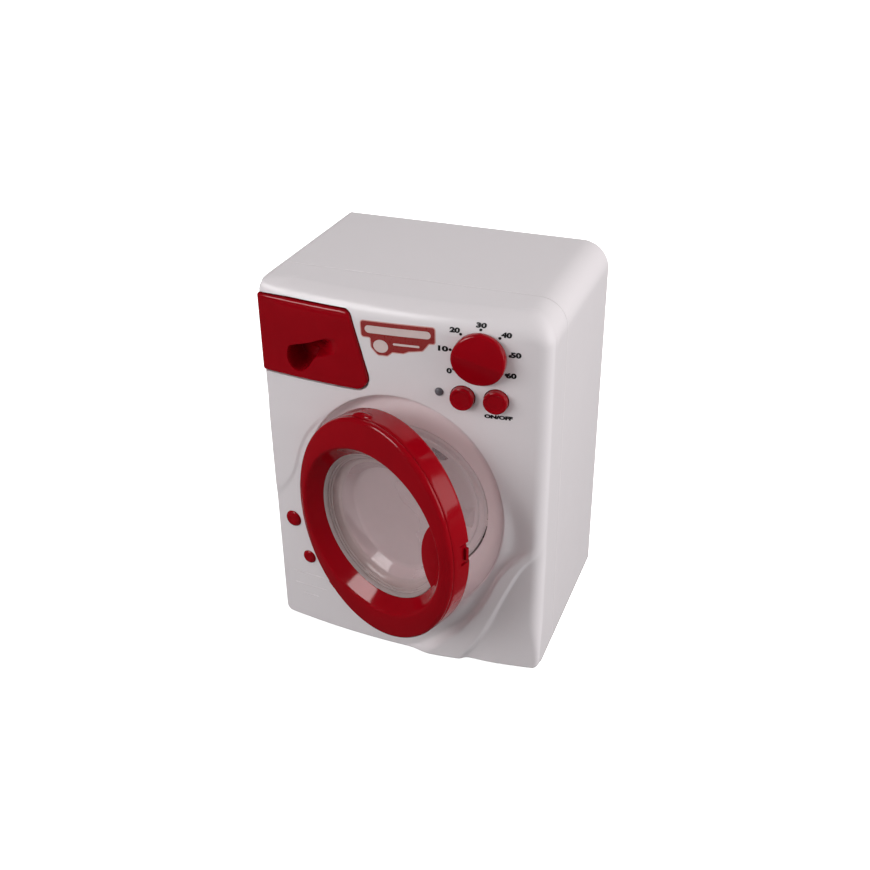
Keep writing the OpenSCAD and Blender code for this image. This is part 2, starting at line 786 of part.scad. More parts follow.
module drum_gear() {
    color([0.85, 0.83, 0.78]) translate([0, 0, door_z]) difference() {
        union() {
            slab(gear_y, gear_y + gear_t) polygon(gear_outline(gear_teeth, 90));
            rod(5, drum_back + 0.05, gear_hub_y);
        }
        rod(axle_r + run_gap, drum_back - 5, gear_hub_y + 5);
    }
}

module drum_axle() {
    color(steel) translate([0, 0, door_z]) {
        rod(axle_r, drum_back - 4, axle_end);
        rod(axle_r + 4, drum_back - 3.8, drum_back - 2.05);
    }
}

module axle_clip() {
    color(steel) translate([0, 0, door_z]) difference() {
        rod(axle_r + 2, bush_end + 0.3, bush_end + 1.2);
        rod(axle_r + run_gap, bush_end, axle_end + 1);
    }
}

module axle_bush() {
    color([0.75, 0.6, 0.3]) translate([0, 0, door_z]) difference() {
        union() {
            rod(axle_r + 4, bush_y, plate_y - 0.05);
            rod(axle_r + 2, bush_y, bush_end);
        }
        rod(axle_r + run_gap, 0, axle_end + 5);
    }
}

module bearing_plate() {
    color(grey) difference() {
        block([-plate_x - 6, plate_y, plate_low - 6], [plate_x + 6, plate_back - 0.05, plate_high + 6]);
        translate([0, 0, door_z]) rod(axle_r + 2 + run_gap, plate_y - 5, plate_back + 5);
        translate([0, 0, motor_z]) rod(3 + fit_gap, plate_y - 5, plate_back + 5);
        for (s = [-1, 1]) translate([s * 6.5, 0, motor_z]) rod(1 + run_gap, plate_y - 5, plate_back + 5);
        for (p = plate_places) translate([p[0], 0, p[1]]) rod(screw_r + run_gap, plate_y - 5, plate_back + 5);
        // windows that save material either side of the axle
        for (s = [-1, 1]) block([s * 26 - 11, plate_y - 5, plate_low + 8], [s * 26 + 11, plate_back + 5, door_z + 16]);
    }
}

module plate_screws() {
    color(steel) for (p = plate_places) translate([p[0], 0, p[1]]) {
        rod(screw_r, plate_y - 0.3, plate_back + 10);
        rod(screw_r * 2, plate_y - 2, plate_y - 0.05, 32);
    }
}

module motor_can() {
    color(steel) translate([0, 0, motor_z]) difference() {
        union() {
            intersection() {
                rod(motor_w / 2, plate_back, motor_back, 64);
                block([-motor_w, plate_back, -motor_h / 2], [motor_w, motor_back, motor_h / 2]);
            }
            rod(3, plate_y + 0.8, plate_back + 1);
            rod(3, motor_back - 1, motor_back + 2);
        }
        rod(motor_shaft_r + run_gap, plate_y, motor_back - 3);
        for (s = [-1, 1]) translate([s * 6.5, 0, 0]) rod(1 + run_gap, plate_back - 1, plate_back + 4);
    }
}

module motor_screws() {
    color(steel) for (s = [-1, 1]) translate([s * 6.5, 0, motor_z]) {
        rod(1, plate_y - 0.3, plate_back + 3);
        rod(1.8, plate_y - 1.4, plate_y - 0.05, 32);
    }
}

module motor_shaft() {
    color(steel) translate([0, 0, motor_z]) rod(motor_shaft_r, gear_y + 0.1, motor_back - 3.2);
}

module motor_pinion() {
    color([0.8, 0.65, 0.3]) translate([0, 0, motor_z]) difference() {
        slab(gear_y + 0.2, gear_y + gear_t + 0.6) polygon(gear_outline(pinion_teeth, 270 + 180 / pinion_teeth));
        rod(motor_shaft_r + run_gap / 2, gear_y - 1, gear_y + gear_t + 2);
    }
}

// ---- power ----

module battery_box() {
    color(dark) difference() {
        block([-box_w / 2 - box_wall, box_front, box_z], [box_w / 2 + box_wall, back_in - 0.05, box_z + box_l + box_wall]);
        block([-box_w / 2, box_front + box_wall, box_z + box_wall], [box_w / 2, back_in + 1, box_z + box_l]);
    }
}

cover_screw_z = box_z + box_l + box_wall + 4.4;

module cover_plate(g, extra) {
    block([-box_w / 2 - 2 - g, back_y - 1.2, box_z - 2 - g],
        [box_w / 2 + 2 + g, back_y + extra, cover_screw_z + 4.2 + g]);
}

module battery_cover() {
    color(white) difference() {
        union() {
            difference() {
                cover_plate(0, 0);
                behind_y(back_y);
            }
            block([-box_w / 2 + 1, back_y - wall - 0.8, box_z + box_wall + 0.4],
                [box_w / 2 - 1, back_y - 1, box_z + box_wall + 2]);
            translate([0, 0, cover_screw_z]) rod(2.9, back_y - 2.6, back_y - 0.5);
        }
        translate([0, 0, cover_screw_z]) {
            rod(1.2, back_in - 6, back_y + 1);
            rod(2.1, back_y - 1.3, back_y + 1);
        }
    }
}

module cover_screw() {
    color(steel) translate([0, 0, cover_screw_z]) {
        rod(1, back_in - 5, back_y - 1);
        rod(1.9, back_y - 1.25, back_y - 0.2, 32);
    }
}

cell_y = back_in - cell_r - 1;
cell_low = box_z + box_wall + 2.6;
function cell_x(i) = (i - (cells - 1) / 2) * cell_pitch;

// one cell, its stud up on every second one
module cell(i) {
    color([0.25, 0.25, 0.28]) if (i < cells) translate([cell_x(i), cell_y, cell_low]) {
        up = i % 2 == 0;
        translate([0, 0, up ? 0 : 1.2]) cylinder(r = cell_r, h = cell_len - 1.2);
        translate([0, 0, up ? 2 : 0]) cylinder(r = 2.6, h = cell_len - 2);
    }
}

module cell_1() { cell(0); }
module cell_2() { cell(1); }
module cell_3() { cell(2); }

// conical springs press on the flat end of each cell
module contact_springs() {
    color(steel) for (i = [0:cells - 1]) {
        low = i % 2 == 0;
        translate([cell_x(i), cell_y, low ? cell_low : cell_low + cell_len]) mirror([0, 0, low ? 1 : 0]) {
            for (k = [0:2]) translate([0, 0, 0.42 + 0.62 * k]) rotate_extrude($fn = 32)
                translate([2.4 + 0.8 * k, 0]) circle(0.35, $fn = 16);
            translate([-5, -4, 1.9]) cube([10, 8, 0.4]);
        }
    }
}

module contact_plates() {
    color(steel) for (i = [0:cells - 1]) {
        low = i % 2 == 1;
        translate([cell_x(i), cell_y, low ? cell_low : cell_low + cell_len]) mirror([0, 0, low ? 1 : 0])
            union() {
                translate([-5, -4, 0.1]) cube([10, 8, 0.4]);
                translate([-1.5, -4, 0.1]) cube([3, 8, 2.2]);
            }
    }
}

speaker_angles = [90, 210, 330];

module speaker_at(a, r) {
    translate([r * cos(a), 0, speaker_z + r * sin(a)]) children();
}

module speaker() {
    color(dark) translate([0, 0, speaker_z]) turned() polygon([[0, back_in - 1.6], [4, back_in - 1],
        [speaker_r - 4, back_in - 1.9], [speaker_r - 2, back_in - 0.05], [speaker_r, back_in - 0.05],
        [speaker_r, back_in - 2.2], [speaker_r - 3, back_in - 4.6], [9, back_in - 5], [9, back_in - 9],
        [0, back_in - 9]]);
}

module speaker_clamp() {
    color(grey) difference() {
        union() {
            translate([0, 0, speaker_z]) turned() polygon([[speaker_r - 1.4, back_in - 4.05], [speaker_r + 0.9, back_in - 4.05],
                [speaker_r + 0.9, back_in - 5.4], [speaker_r - 4, back_in - 5.4], [speaker_r - 4, back_in - 4.8]]);
            for (a = speaker_angles) speaker_at(a, speaker_r + 2.8) rod(2.6, back_in - 5.4, back_in - 4.05);
        }
        for (a = speaker_angles) speaker_at(a, speaker_r + 3.2) rod(1 + run_gap, back_in - 8, back_in);
        translate([0, 0, speaker_z]) turned() polygon([[0, back_in - 5.6], [speaker_r - 3.2, back_in - 5.6],
            [speaker_r - 2.6, back_in - 4.6], [speaker_r + 0.1, back_in - 2.1], [speaker_r + 0.1, back_in], [0, back_in]]);
    }
}

module speaker_screws() {
    color(steel) for (a = speaker_angles) speaker_at(a, speaker_r + 3.2) {
        rod(1, back_in - 5.6, back_in - 1.2);
        rod(1.9, back_in - 6.4, back_in - 5.45, 32);
    }
}

// ---- detergent drawer ----

scoop_lobes = [[31.5, 32.8, 8], [15.5, 25, 6.4]];   // left of the upper right corner, below the top, radius

module scoop(g, y0, y1) {
    a = scoop_lobes[0];
    b = scoop_lobes[1];
    for (c = scoop_lobes) translate([-drawer_right - c[0], 0, drawer_top - c[1]]) rod(c[2] + g, y0, y1);
    slab(y0, y1) polygon([for (c = [[a, 1], [b, 1], [b, -1], [a, -1]])
        [-drawer_right - c[0][0] - c[1] * 0.43 * (c[0][2] + g), drawer_top - c[0][1] + c[1] * 0.9 * (c[0][2] + g)]]);
}

scoop_in = 9;

// red drawer front that wraps round the left corner, with a finger pull
module drawer_front() {
    color(red) difference() {
        union() {
            intersection() {
                slab(-BIG / 2, corner_y + drawer_wrap) drawer_outline(0);
                difference() {
                    case_solid(-drawer_proud);
                    case_solid(wall - 0.6);
                    behind_y(corner_y + drawer_wrap);
                }
                block([-BIG, -BIG, 0], [0, BIG, BIG]);
            }
            intersection() {
                linear_extrude(height = case_h) plan_outline(0);
                scoop(1.5, mid_y, corner_y + scoop_in + 1.5);
            }
        }
        scoop(0, mid_y - 5, corner_y + scoop_in);
    }
}

module drawer_tray() {
    color(red) difference() {
        intersection() {
            linear_extrude(height = case_h) plan_outline(wall - 0.5);
            block([tray_left, mid_y, tray_low], [tray_right, tray_back, tray_top]);
        }
        intersection() {
            linear_extrude(height = case_h) plan_outline(wall + 1);
            block([tray_left + tray_wall, mid_y, tray_low + tray_wall], [tray_right - tray_wall, tray_back - tray_wall, case_h]);
        }
        scoop(1.6, mid_y - 5, corner_y + scoop_in + 1.6);
    }
}

// channel that the tray runs in
module drawer_guide() {
    x0 = tray_left - skin_gap - guide_t;
    x1 = tray_right + skin_gap + guide_t;
    z0 = tray_low - skin_gap - guide_t;
    yf = corner_y + drawer_wrap + skin_gap + 0.4;
    color(grey) difference() {
        intersection() {
            case_solid(wall + 0.1);
            union() {
                block([x0, yf, z0], [x1, tray_back + 3, z0 + guide_t]);
                block([x1 - guide_t, yf, z0], [x1, tray_back + 3, tray_top]);
                block([x0, yf, z0], [x0 + guide_t, tray_back + 3, tray_top]);
                block([x0, tray_back + 1.4, z0], [x1, tray_back + 3, tray_top]);
                // foot that reaches forward under the opening to the front wall
                block([x0, yf, drawer_low - 2.9], [x1, yf + guide_t, z0 + 1]);
                block([x0, mid_y, drawer_low - 4.5], [x1, yf + guide_t, drawer_low - 2.9]);
            }
        }
        drawer_opening();
    }
}

front_shell();
rear_housing();
case_screws();
drum_bezel();
hinge_bracket();
hinge_pin();
upper_cap();
lower_cap();
drawer_guide();
timer_case();
timer_screws();
click_spring();
control_board();
board_screws();
mode_switch();
power_switch();
signal_led();
bearing_plate();
plate_screws();
axle_bush();
motor_can();
motor_screws();
battery_box();
battery_cover();
cover_screw();
contact_springs();
contact_plates();
cell_1();
cell_2();
cell_3();
speaker();
speaker_clamp();
speaker_screws();
door_front_ring();
door_back_ring();
door_window();
door_latch();
drum();
drum_gear();
drum_axle();
axle_clip();
motor_shaft();
motor_pinion();
timer_knob();
timer_shaft();
click_wheel();
mode_button();
mode_plunger();
power_button();
power_plunger();
drawer_front();
drawer_tray();
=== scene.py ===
"""Toy washing machine: skins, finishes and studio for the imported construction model.

A white case with a bowed front, a deep red door standing ajar, a drawer front that wraps round the corner,
a dial with numbers, two push buttons and a ribbon that sweeps up the front. Lengths are in millimetres
inside the functions and in metres on the panel and in the finished meshes.
"""

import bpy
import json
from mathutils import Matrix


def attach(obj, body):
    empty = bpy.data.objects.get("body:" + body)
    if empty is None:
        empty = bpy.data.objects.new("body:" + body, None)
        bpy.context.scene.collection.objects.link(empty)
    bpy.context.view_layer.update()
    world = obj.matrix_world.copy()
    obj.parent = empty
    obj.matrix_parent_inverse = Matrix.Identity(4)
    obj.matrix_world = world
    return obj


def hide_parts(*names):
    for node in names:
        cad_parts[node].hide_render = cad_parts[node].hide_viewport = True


bl_info = {
    "name": "Toy Washing Machine",
    "version": (1, 0, 0),
    "blender": (4, 5, 0),
    "location": "3D View > Sidebar > Washer",
    "description": "Builds the skins, finishes and studio of a toy washing machine",
    "category": "Add Mesh",
}

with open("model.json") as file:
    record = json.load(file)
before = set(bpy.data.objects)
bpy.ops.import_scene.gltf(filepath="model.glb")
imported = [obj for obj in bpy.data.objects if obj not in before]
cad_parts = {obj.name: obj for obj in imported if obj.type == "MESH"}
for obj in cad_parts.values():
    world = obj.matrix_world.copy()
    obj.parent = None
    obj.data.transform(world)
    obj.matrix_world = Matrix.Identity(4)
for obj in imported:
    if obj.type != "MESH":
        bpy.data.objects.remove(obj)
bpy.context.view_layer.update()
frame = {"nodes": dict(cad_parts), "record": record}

import json
import math

import bmesh
import bpy
from mathutils import Matrix, Vector

MM = 0.001


# ---- sizes of the case that every piece shares ----

# The case's half width and height, its places from front to back, and the long radius of its bowed front.
HALF_W, CASE_H = 81.5, 220.0
BACK_Y, SEAM_Y, MID_Y = 59.0, -30.0, -66.4
FRONT_BOW, WALL = 7.4, 2.2
BOW_R = (HALF_W**2 + FRONT_BOW**2) / (2 * FRONT_BOW)
BOW_CY = MID_Y + BOW_R

# Radii of the case's edges: the top right, top left, brow, front corner and foot, then the crisp ones.
SIDE_R, LEFT_R, BROW_R, CORNER_R, BASE_R = 15.5, 7.0, 13.0, 8.0, 4.0
LEFT_CORNER_R, LOW_CORNER_R, FOOT_R, FOOT_EDGE_R = 1.4, 3.0, 1.2, 0.7
CRISP_X, CRISP_Z = -60, 192

# The recess behind the door: its middle, the half sizes of its mouth and back, its lip and hollow wall, its
# floor, the rim round the drum, and the oval and strength of the painted pink glow inside it, an emission
# that stands in for light bounced off the red door.
DOOR_Z = 98.0
RECESS_RX, RECESS_RZ, BEHIND_RX, BEHIND_RZ = 59.1, 69.9, 61.3, 72.2
RECESS_LIP, COVE_R, FLOOR_Y, RIM_R = 0.9, 7.0, -57.0, 48.8
PAINTED_GLOW_RX, PAINTED_GLOW_RZ, PAINTED_GLOW_STRENGTH = 58.6, 69.4, 0.115

# The door: its lip, its hinge, the degrees that it stands open, and its ring's split, crease and funnel.
LIP_Y = -76.1
HINGE = Vector((-51.7, -68.9, 0.0))
AJAR = 20.2
SPLIT_D, CREASE_R, FUNNEL_D = 3.4, 50.0, 6.5

# Places as (x, height), with a radius for the red caps.
DIAL_X, DIAL_Z = 45.5, 197.0
BUTTONS = {"mode": (DIAL_X - 8.76, 173.8), "power": (DIAL_X + 8.76, 173.8)}
LAMP = (24.2, 175.2)
CAPS = {"upper": (-70.3, 71.8, 5.2), "lower": (-60.9, 47.3, 4.3)}
POSTS = [(-72.1, 16), (72.1, 16), (-72.1, 142), (72.1, 142), (2, 203)]
SPEAKER_Z = 172.0


def size(name):
    """A size from the panel, in millimetres."""
    return getattr(bpy.context.scene.washer_sizes, name) / MM


def quarter(steps):
    """Angles from 0 to a right angle in even steps."""
    return [math.radians(90 * k / steps) for k in range(steps + 1)]


def spokes(n):
    """The cosine and sine of n even turns round a circle."""
    turns = [2 * math.pi * i / n for i in range(n)]
    return [(math.cos(a), math.sin(a)) for a in turns]


def blend(a, b, t):
    """From a to b by the share t."""
    return a + (b - a) * t


def ease(t):
    """Soft step from 0 to 1."""
    t = min(max(t, 0.0), 1.0)
    return t * t * (3 - 2 * t)


def along(knots, t):
    """Value and slope at t of a smooth curve through (t, value) knots, straight beyond its ends."""
    last = len(knots) - 1
    slopes = []
    for i in range(last + 1):
        a, b = knots[max(i - 1, 0)], knots[min(i + 1, last)]
        slopes.append((b[1] - a[1]) / (b[0] - a[0]))
    if t <= knots[0][0]:
        return knots[0][1] + slopes[0] * (t - knots[0][0]), slopes[0]
    if t >= knots[last][0]:
        return knots[last][1] + slopes[last] * (t - knots[last][0]), slopes[last]
    i = max(k for k in range(last) if knots[k][0] <= t)
    (t0, v0), (t1, v1) = knots[i], knots[i + 1]
    h = t1 - t0
    u = (t - t0) / h
    value = (
        (2 * u**3 - 3 * u**2 + 1) * v0
        + (u**3 - 2 * u**2 + u) * h * slopes[i]
        + (3 * u**2 - 2 * u**3) * v1
        + (u**3 - u**2) * h * slopes[i + 1]
    )
    slope = (
        (6 * u**2 - 6 * u) * (v0 - v1) / h
        + (3 * u**2 - 4 * u + 1) * slopes[i]
        + (3 * u**2 - 2 * u) * slopes[i + 1]
    )
    return value, slope


def front_y(x, g=0.0):
    """The bowed front at x, set in by g."""
    return BOW_CY - math.sqrt((BOW_R - g) ** 2 - x * x)


# Lines on the front as (height, x) knots: the ribbon's crest on its left, its foot on its right, the valley
# between the crest and the recess, and the step on the left.
RIBBON_CREST = [(0, 13.6), (3.2, 18.6), (11.6, 27.1), (21, 36.3), (29.8, 42.6), (39.2, 48.5), (48.4, 53),
                (58.4, 56.8), (65.2, 60.3), (73.6, 66), (83.7, 75.3), (88, 80.5)]
RIBBON_FOOT = [(0, 39), (2.7, 40.4), (8.5, 44.1), (15.9, 48.2), (23.3, 51.8), (31.2, 55), (39, 58),
               (47.4, 61.2), (60, 66.6), (65.9, 69.4), (72.1, 73.3), (77.7, 77.9), (84, 82.5)]
VALLEY = [(0, 8.6), (7, 13.5), (17.3, 25.6), (23.7, 33.4), (29.6, 38.6), (39.8, 44.9), (49.5, 50),
          (58.9, 54.2), (68.2, 58.6), (80, 64.5), (92, 65.5), (106, 64), (120, 62)]
LEFT_STEP = [(88.3, -78.3), (96.7, -71.7), (108.3, -65.8), (121.7, -61.7), (135, -55), (146.7, -45)]


def offset(knots, x, z):
    """Distance of a point on the front to the right of a line drawn by (height, x) knots."""
    line, run = along(knots, z)
    return (x - line) / math.sqrt(1 + run**2)


def brow_r(x):
    """Radius of the brow, less at the left end."""
    return blend(8.0, BROW_R, ease((x + HALF_W) / 18))


def crisp(q, inset=0.0):
    """Moves a skin point near the upper left edge out to the crisp shape there, a narrow edge along the side
    that follows the brow's curve down to the front."""
    if q.x > CRISP_X or q.z < CRISP_Z:
        return q
    centre = Vector((CRISP_X, max(q.y, -40), CRISP_Z + 3))
    ray = q - centre
    narrow = blend(LEFT_CORNER_R, 1.6, ease((q.z - CRISP_Z) / 12))

    def outside(t):
        p = centre + ray * t
        r = brow_r(p.x)
        dy, dz = front_y(p.x) + r - p.y, p.z - (CASE_H - r)
        over = (math.hypot(dy, dz) if dy > 0 and dz > 0 else max(dy, dz)) - r + inset + narrow
        side = -HALF_W - p.x + inset + narrow
        return min(max(over, side), 0.0) + math.hypot(max(over, 0.0), max(side, 0.0)) - narrow

    low, high = 0.4, 1.8
    for _ in range(26):
        middle = (low + high) / 2
        if outside(middle) > 0:
            high = middle
        else:
            low = middle
    return centre + ray * low


def relief(x, z):
    """How far the front stands out past its bow: the ribbon low on the right, a faint step on the left."""
    out = 0.0
    if z < 124 and x > 0:
        past_crest, past_foot = offset(RIBBON_CREST, x, z), offset(RIBBON_FOOT, x, z)
        step = blend(8.0, 2.2, ease(z / 26))
        fade = 1 - ease((z - 70) / 18)
        rise = blend(2.7, 1.5, ease(z / 40)) * fade
        dip = 0.95 * fade
        fall = blend(3.4, 2.6, ease(z / 50))
        across = min(max(past_crest / max(past_crest - past_foot - fall, 1e-6), 0.0), 1.0)
        if past_foot < 0:
            top = rise * (1 - 0.42 * across)
            out += blend(top, -dip, ease(1 + past_foot / fall)) * ease((past_crest + step) / step)
        else:
            out -= dip * (1 - ease(past_foot / 17))
        past_valley = offset(VALLEY, x, z)
        deep = blend(1.1, 2.0, ease(z / 26)) * (1 - ease((z - 92) / 30))
        near = blend(8.5, 7.0, ease(z / 30))
        far = blend(blend(8.0, 2.6, ease(z / 26)), 12.0, ease((z - 66) / 20))
        out -= deep * (1 - ease(abs(past_valley) / (near if past_valley < 0 else far)))
    if x < -30 and 84 < z < 160:
        past = offset(LEFT_STEP, x, z)
        fade = ease((z - 84) / 10) * (1 - ease((z - 138) / 14))
        out += 0.55 * fade * (1 - ease((past + 1.2) / 2.4))
    return out


def fallen(x, z):
    """How far the rounded brow has fallen back at x and height z."""
    r = brow_r(x)
    up = min(max(z - (CASE_H - r), 0.0), 0.95 * r)
    return r - math.sqrt(r * r - up * up)


# ---- meshes ----


def outward(bm):
    """Turns the faces of a mesh outward."""
    bmesh.ops.recalc_face_normals(bm, faces=bm.faces)
    if bm.calc_volume(signed=True) < 0:
        bmesh.ops.reverse_faces(bm, faces=bm.faces)


def skin(rings, shut=False, cap_first=False, cap_last=False):
    """A mesh drawn through closed rings of points by extruding the first one from ring to ring."""
    bm = bmesh.new()
    loop = bmesh.ops.create_circle(bm, cap_ends=False, radius=1.0, segments=len(rings[0]))["verts"]
    for vert, point in zip(loop, rings[0]):
        vert.co = point
    first, edges = list(loop), list(bm.edges)
    if cap_first:
        bmesh.ops.contextual_create(bm, geom=edges)
    for ring in list(rings[1:]) + ([rings[0]] if shut else []):
        made = bmesh.ops.extrude_edge_only(bm, edges=edges)["geom"]
        fresh = {g for g in made if isinstance(g, bmesh.types.BMVert)}
        loop = [next(o for o in (e.other_vert(v) for e in v.link_edges) if o in fresh) for v in loop]
        edges = [g for g in made if isinstance(g, bmesh.types.BMEdge) and fresh.issuperset(g.verts)]
        for vert, point in zip(loop, ring):
            vert.co = point
    if shut:
        bmesh.ops.weld_verts(bm, targetmap=dict(zip(loop, first)))
    if cap_last:
        bmesh.ops.contextual_create(bm, geom=edges)
    outward(bm)
    return bm


def lathe(profile, steps=64):
    """A profile of (radius, depth) points turned round the Y axis; ends at radius 0 close into poles."""
    bm = bmesh.new()
    verts = [bmesh.ops.create_vert(bm, co=(r, y, 0))["vert"][0] for r, y in profile]
    ends_meet = profile[0][0] > 1e-6 and profile[-1][0] > 1e-6
    pairs = list(zip(verts, verts[1:])) + ([(verts[-1], verts[0])] if ends_meet else [])
    edges = []
    for a, b in pairs:
        edges += bmesh.ops.contextual_create(bm, geom=[a, b])["edges"]
    bmesh.ops.spin(bm, geom=verts + edges, cent=(0, 0, 0), axis=(0, 1, 0), angle=2 * math.pi, steps=steps,
                   use_merge=True)
    bmesh.ops.remove_doubles(bm, verts=bm.verts, dist=1e-4)
    outward(bm)
    return bm


def prism(outline, y0, y1):
    """An outline of (x, z) points drawn out along Y."""
    rings = [[Vector((x, y, z)) for x, z in outline] for y in (y0, y1)]
    return skin(rings, cap_first=True, cap_last=True)


def brick(low, high, round_to=0.0):
    """A block from corner to corner with rounded edges."""
    bm = bmesh.new()
    bmesh.ops.create_cube(bm, size=1.0)
    low, high = Vector(low), Vector(high)
    for vert in bm.verts:
        vert.co = (low + high) / 2 + Vector(c * s for c, s in zip(vert.co, high - low))
    if round_to:
        bmesh.ops.bevel(bm, geom=bm.edges, offset=round_to, segments=3, profile=0.5, affect="EDGES",
                        material=-1, clamp_overlap=True)
    outward(bm)
    return bm


def rod(r, y0, y1, steps=48):
    """A round bar along Y."""
    return lathe([(0, y0), (r, y0), (r, y1), (0, y1)], steps)


def ease_edges(bm, edges):
    """Breaks the sharp edges of a thin plate."""
    bmesh.ops.bevel(bm, geom=edges, offset=0.35, segments=2, profile=0.5, affect="EDGES", material=-1)


def moved(bm, matrix):
    """The same mesh, carried by a matrix."""
    bmesh.ops.transform(bm, matrix=matrix, verts=bm.verts)
    return bm


def joined(*meshes):
    """Several meshes in one."""
    out = bmesh.new()
    for bm in meshes:
        part = bpy.data.meshes.new("part")
        bm.to_mesh(part)
        bm.free()
        out.from_mesh(part)
        bpy.data.meshes.remove(part)
    return out


def at(x, y, z):
    """A move to x, y and z."""
    return Matrix.Translation((x, y, z))


def on_front(x, z):
    """The place of a thing set square to the bowed front at x and z, its own -Y facing out."""
    return at(x, front_y(x), z) @ Matrix.Rotation(math.asin(x / BOW_R), 4, "Z")


def on_panel(x, z):
    """The place of a control set square to the front at the dial."""
    turn = math.asin(DIAL_X / BOW_R)
    u = (x - DIAL_X) / math.cos(turn)
    return on_front(DIAL_X, DIAL_Z) @ at(u, 0, z - DIAL_Z)


def ajar():
    """The door's place: drawn closed, then turned open round its hinge."""
    turn = Matrix.Rotation(-math.radians(AJAR), 4, "Z")
    return Matrix.Translation(HINGE) @ turn @ Matrix.Translation(-HINGE)


def plain_object(bm, name):
    """A mesh object in millimetres, for cutting."""
    mesh = bpy.data.meshes.new(name)
    bm.to_mesh(mesh)
    bm.free()
    obj = bpy.data.objects.new(name, mesh)
    bpy.context.scene.collection.objects.link(obj)
    return obj


def carved(bm, cuts=(), adds=()):
    """The mesh with others added to it and cut out of it."""
    base = plain_object(bm, "base")
    tools = []
    for operation, group in (("UNION", adds), ("DIFFERENCE", cuts)):
        for tool in group:
            obj = plain_object(tool, "tool")
            tools.append(obj)
            step = base.modifiers.new(operation.lower(), "BOOLEAN")
            step.operation, step.solver, step.object = operation, "MANIFOLD", obj
    mesh = bpy.data.meshes.new_from_object(base.evaluated_get(bpy.context.evaluated_depsgraph_get()))
    out = bmesh.new()
    out.from_mesh(mesh)
    bpy.data.meshes.remove(mesh)
    for obj in [base] + tools:
        data = obj.data
        bpy.data.objects.remove(obj)
        bpy.data.meshes.remove(data)
    if len(out.faces) < 4:
        raise RuntimeError("a cut left nothing")
    return out


def piece(bm, name, body, finish, replaces=(), sharp=38.0):
    """Finishes a mesh as an object that rides on a body."""
    bmesh.ops.scale(bm, vec=(MM, MM, MM), verts=bm.verts)
    if bm.calc_volume(signed=True) < 0:
        bmesh.ops.reverse_faces(bm, faces=bm.faces)
    mesh = bpy.data.meshes.new(name)
    bm.to_mesh(mesh)
    bm.free()
    mesh.polygons.foreach_set("use_smooth", [True] * len(mesh.polygons))
    mesh.set_sharp_from_angle(angle=math.radians(sharp))
    obj = bpy.data.objects.new(name, mesh)
    bpy.context.scene.collection.objects.link(obj)
    mesh.materials.append(finish)
    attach(obj, body)
    if replaces:
        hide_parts(*replaces)
    return obj


# ---- finishes ----

# A noise rarely leaves this range, so its ends stand for a finish's two extremes.
NOISE_LOW, NOISE_HIGH = 0.3, 0.7


def node(tree, kind, **values):
    """A shader node with its properties and input values set."""
    made = tree.nodes.new(kind)
    for key, value in values.items():
        if key.startswith("in_"):
            made.inputs[key[3:].replace("_", " ")].default_value = value
        else:
            setattr(made, key, value)
    return made


def shade(colour, factor):
    """A colour made darker or lighter, with full alpha."""
    return tuple(min(c * factor, 1.0) for c in colour[:3]) + (1.0,)


def finish(name, colour, rough, cloud=0.05, cloud_size=30.0, peel=0.03, peel_size=1.6, rough_play=0.05,
           streak=(1, 1, 1), **sockets):
    """A procedural finish: clouded colour, uneven gloss and a fine skin, with fixed values on the shader.

    cloud is the share by which the colour drifts over cloud_size millimetres, peel the height of the skin's
    waves of peel_size millimetres, and streak stretches the skin along one axis as brushing does."""
    if name in bpy.data.materials:
        return bpy.data.materials[name]
    mat = bpy.data.materials.new(name)
    mat.use_nodes = True
    tree = mat.node_tree
    bsdf = tree.nodes["Principled BSDF"]
    where = node(tree, "ShaderNodeTexCoord")
    place = node(tree, "ShaderNodeMapping", in_Scale=streak)
    tree.links.new(where.outputs["Object"], place.inputs["Vector"])
    drift = node(tree, "ShaderNodeTexNoise", in_Scale=1000 / cloud_size, in_Detail=3.0, in_Roughness=0.6)
    waves = node(tree, "ShaderNodeTexNoise", in_Scale=1000 / peel_size, in_Detail=2.0, in_Roughness=0.5)
    specks = node(tree, "ShaderNodeTexNoise", in_Scale=5200 / cloud_size, in_Detail=4.0, in_Roughness=0.7)
    tree.links.new(where.outputs["Object"], drift.inputs["Vector"])
    tree.links.new(place.outputs["Vector"], waves.inputs["Vector"])
    tree.links.new(where.outputs["Object"], specks.inputs["Vector"])
    ramp = node(tree, "ShaderNodeValToRGB")
    low, high = ramp.color_ramp.elements
    low.position, low.color = NOISE_LOW, shade(colour, 1 - cloud)
    high.position, high.color = NOISE_HIGH, shade(colour, 1 + cloud)
    tree.links.new(drift.outputs["Fac"], ramp.inputs["Fac"])
    tree.links.new(ramp.outputs["Color"], bsdf.inputs["Base Color"])
    gloss = node(tree, "ShaderNodeMapRange", in_From_Min=NOISE_LOW, in_From_Max=NOISE_HIGH,
                 in_To_Min=max(rough - rough_play, 0.02), in_To_Max=rough + rough_play)
    tree.links.new(specks.outputs["Fac"], gloss.inputs["Value"])
    tree.links.new(gloss.outputs["Result"], bsdf.inputs["Roughness"])
    bump = node(tree, "ShaderNodeBump", in_Strength=1.0, in_Distance=peel * MM)
    tree.links.new(waves.outputs["Fac"], bump.inputs["Height"])
    tree.links.new(bump.outputs["Normal"], bsdf.inputs["Normal"])
    for key, value in sockets.items():
        bsdf.inputs[key.replace("_", " ")].default_value = value
    return mat


def shell_finish(name, **sockets):
    """The case's white plastic: a low gloss over a skin that is almost flat."""
    return finish(name, bpy.context.scene.washer_finishes.case, 0.24, cloud=0.005, cloud_size=60, peel=0.0003,
                  peel_size=3.2, rough_play=0.008, Specular_IOR_Level=0.4, **sockets)


def white_shell():
    """The plain white case."""
    return shell_finish("white_shell")


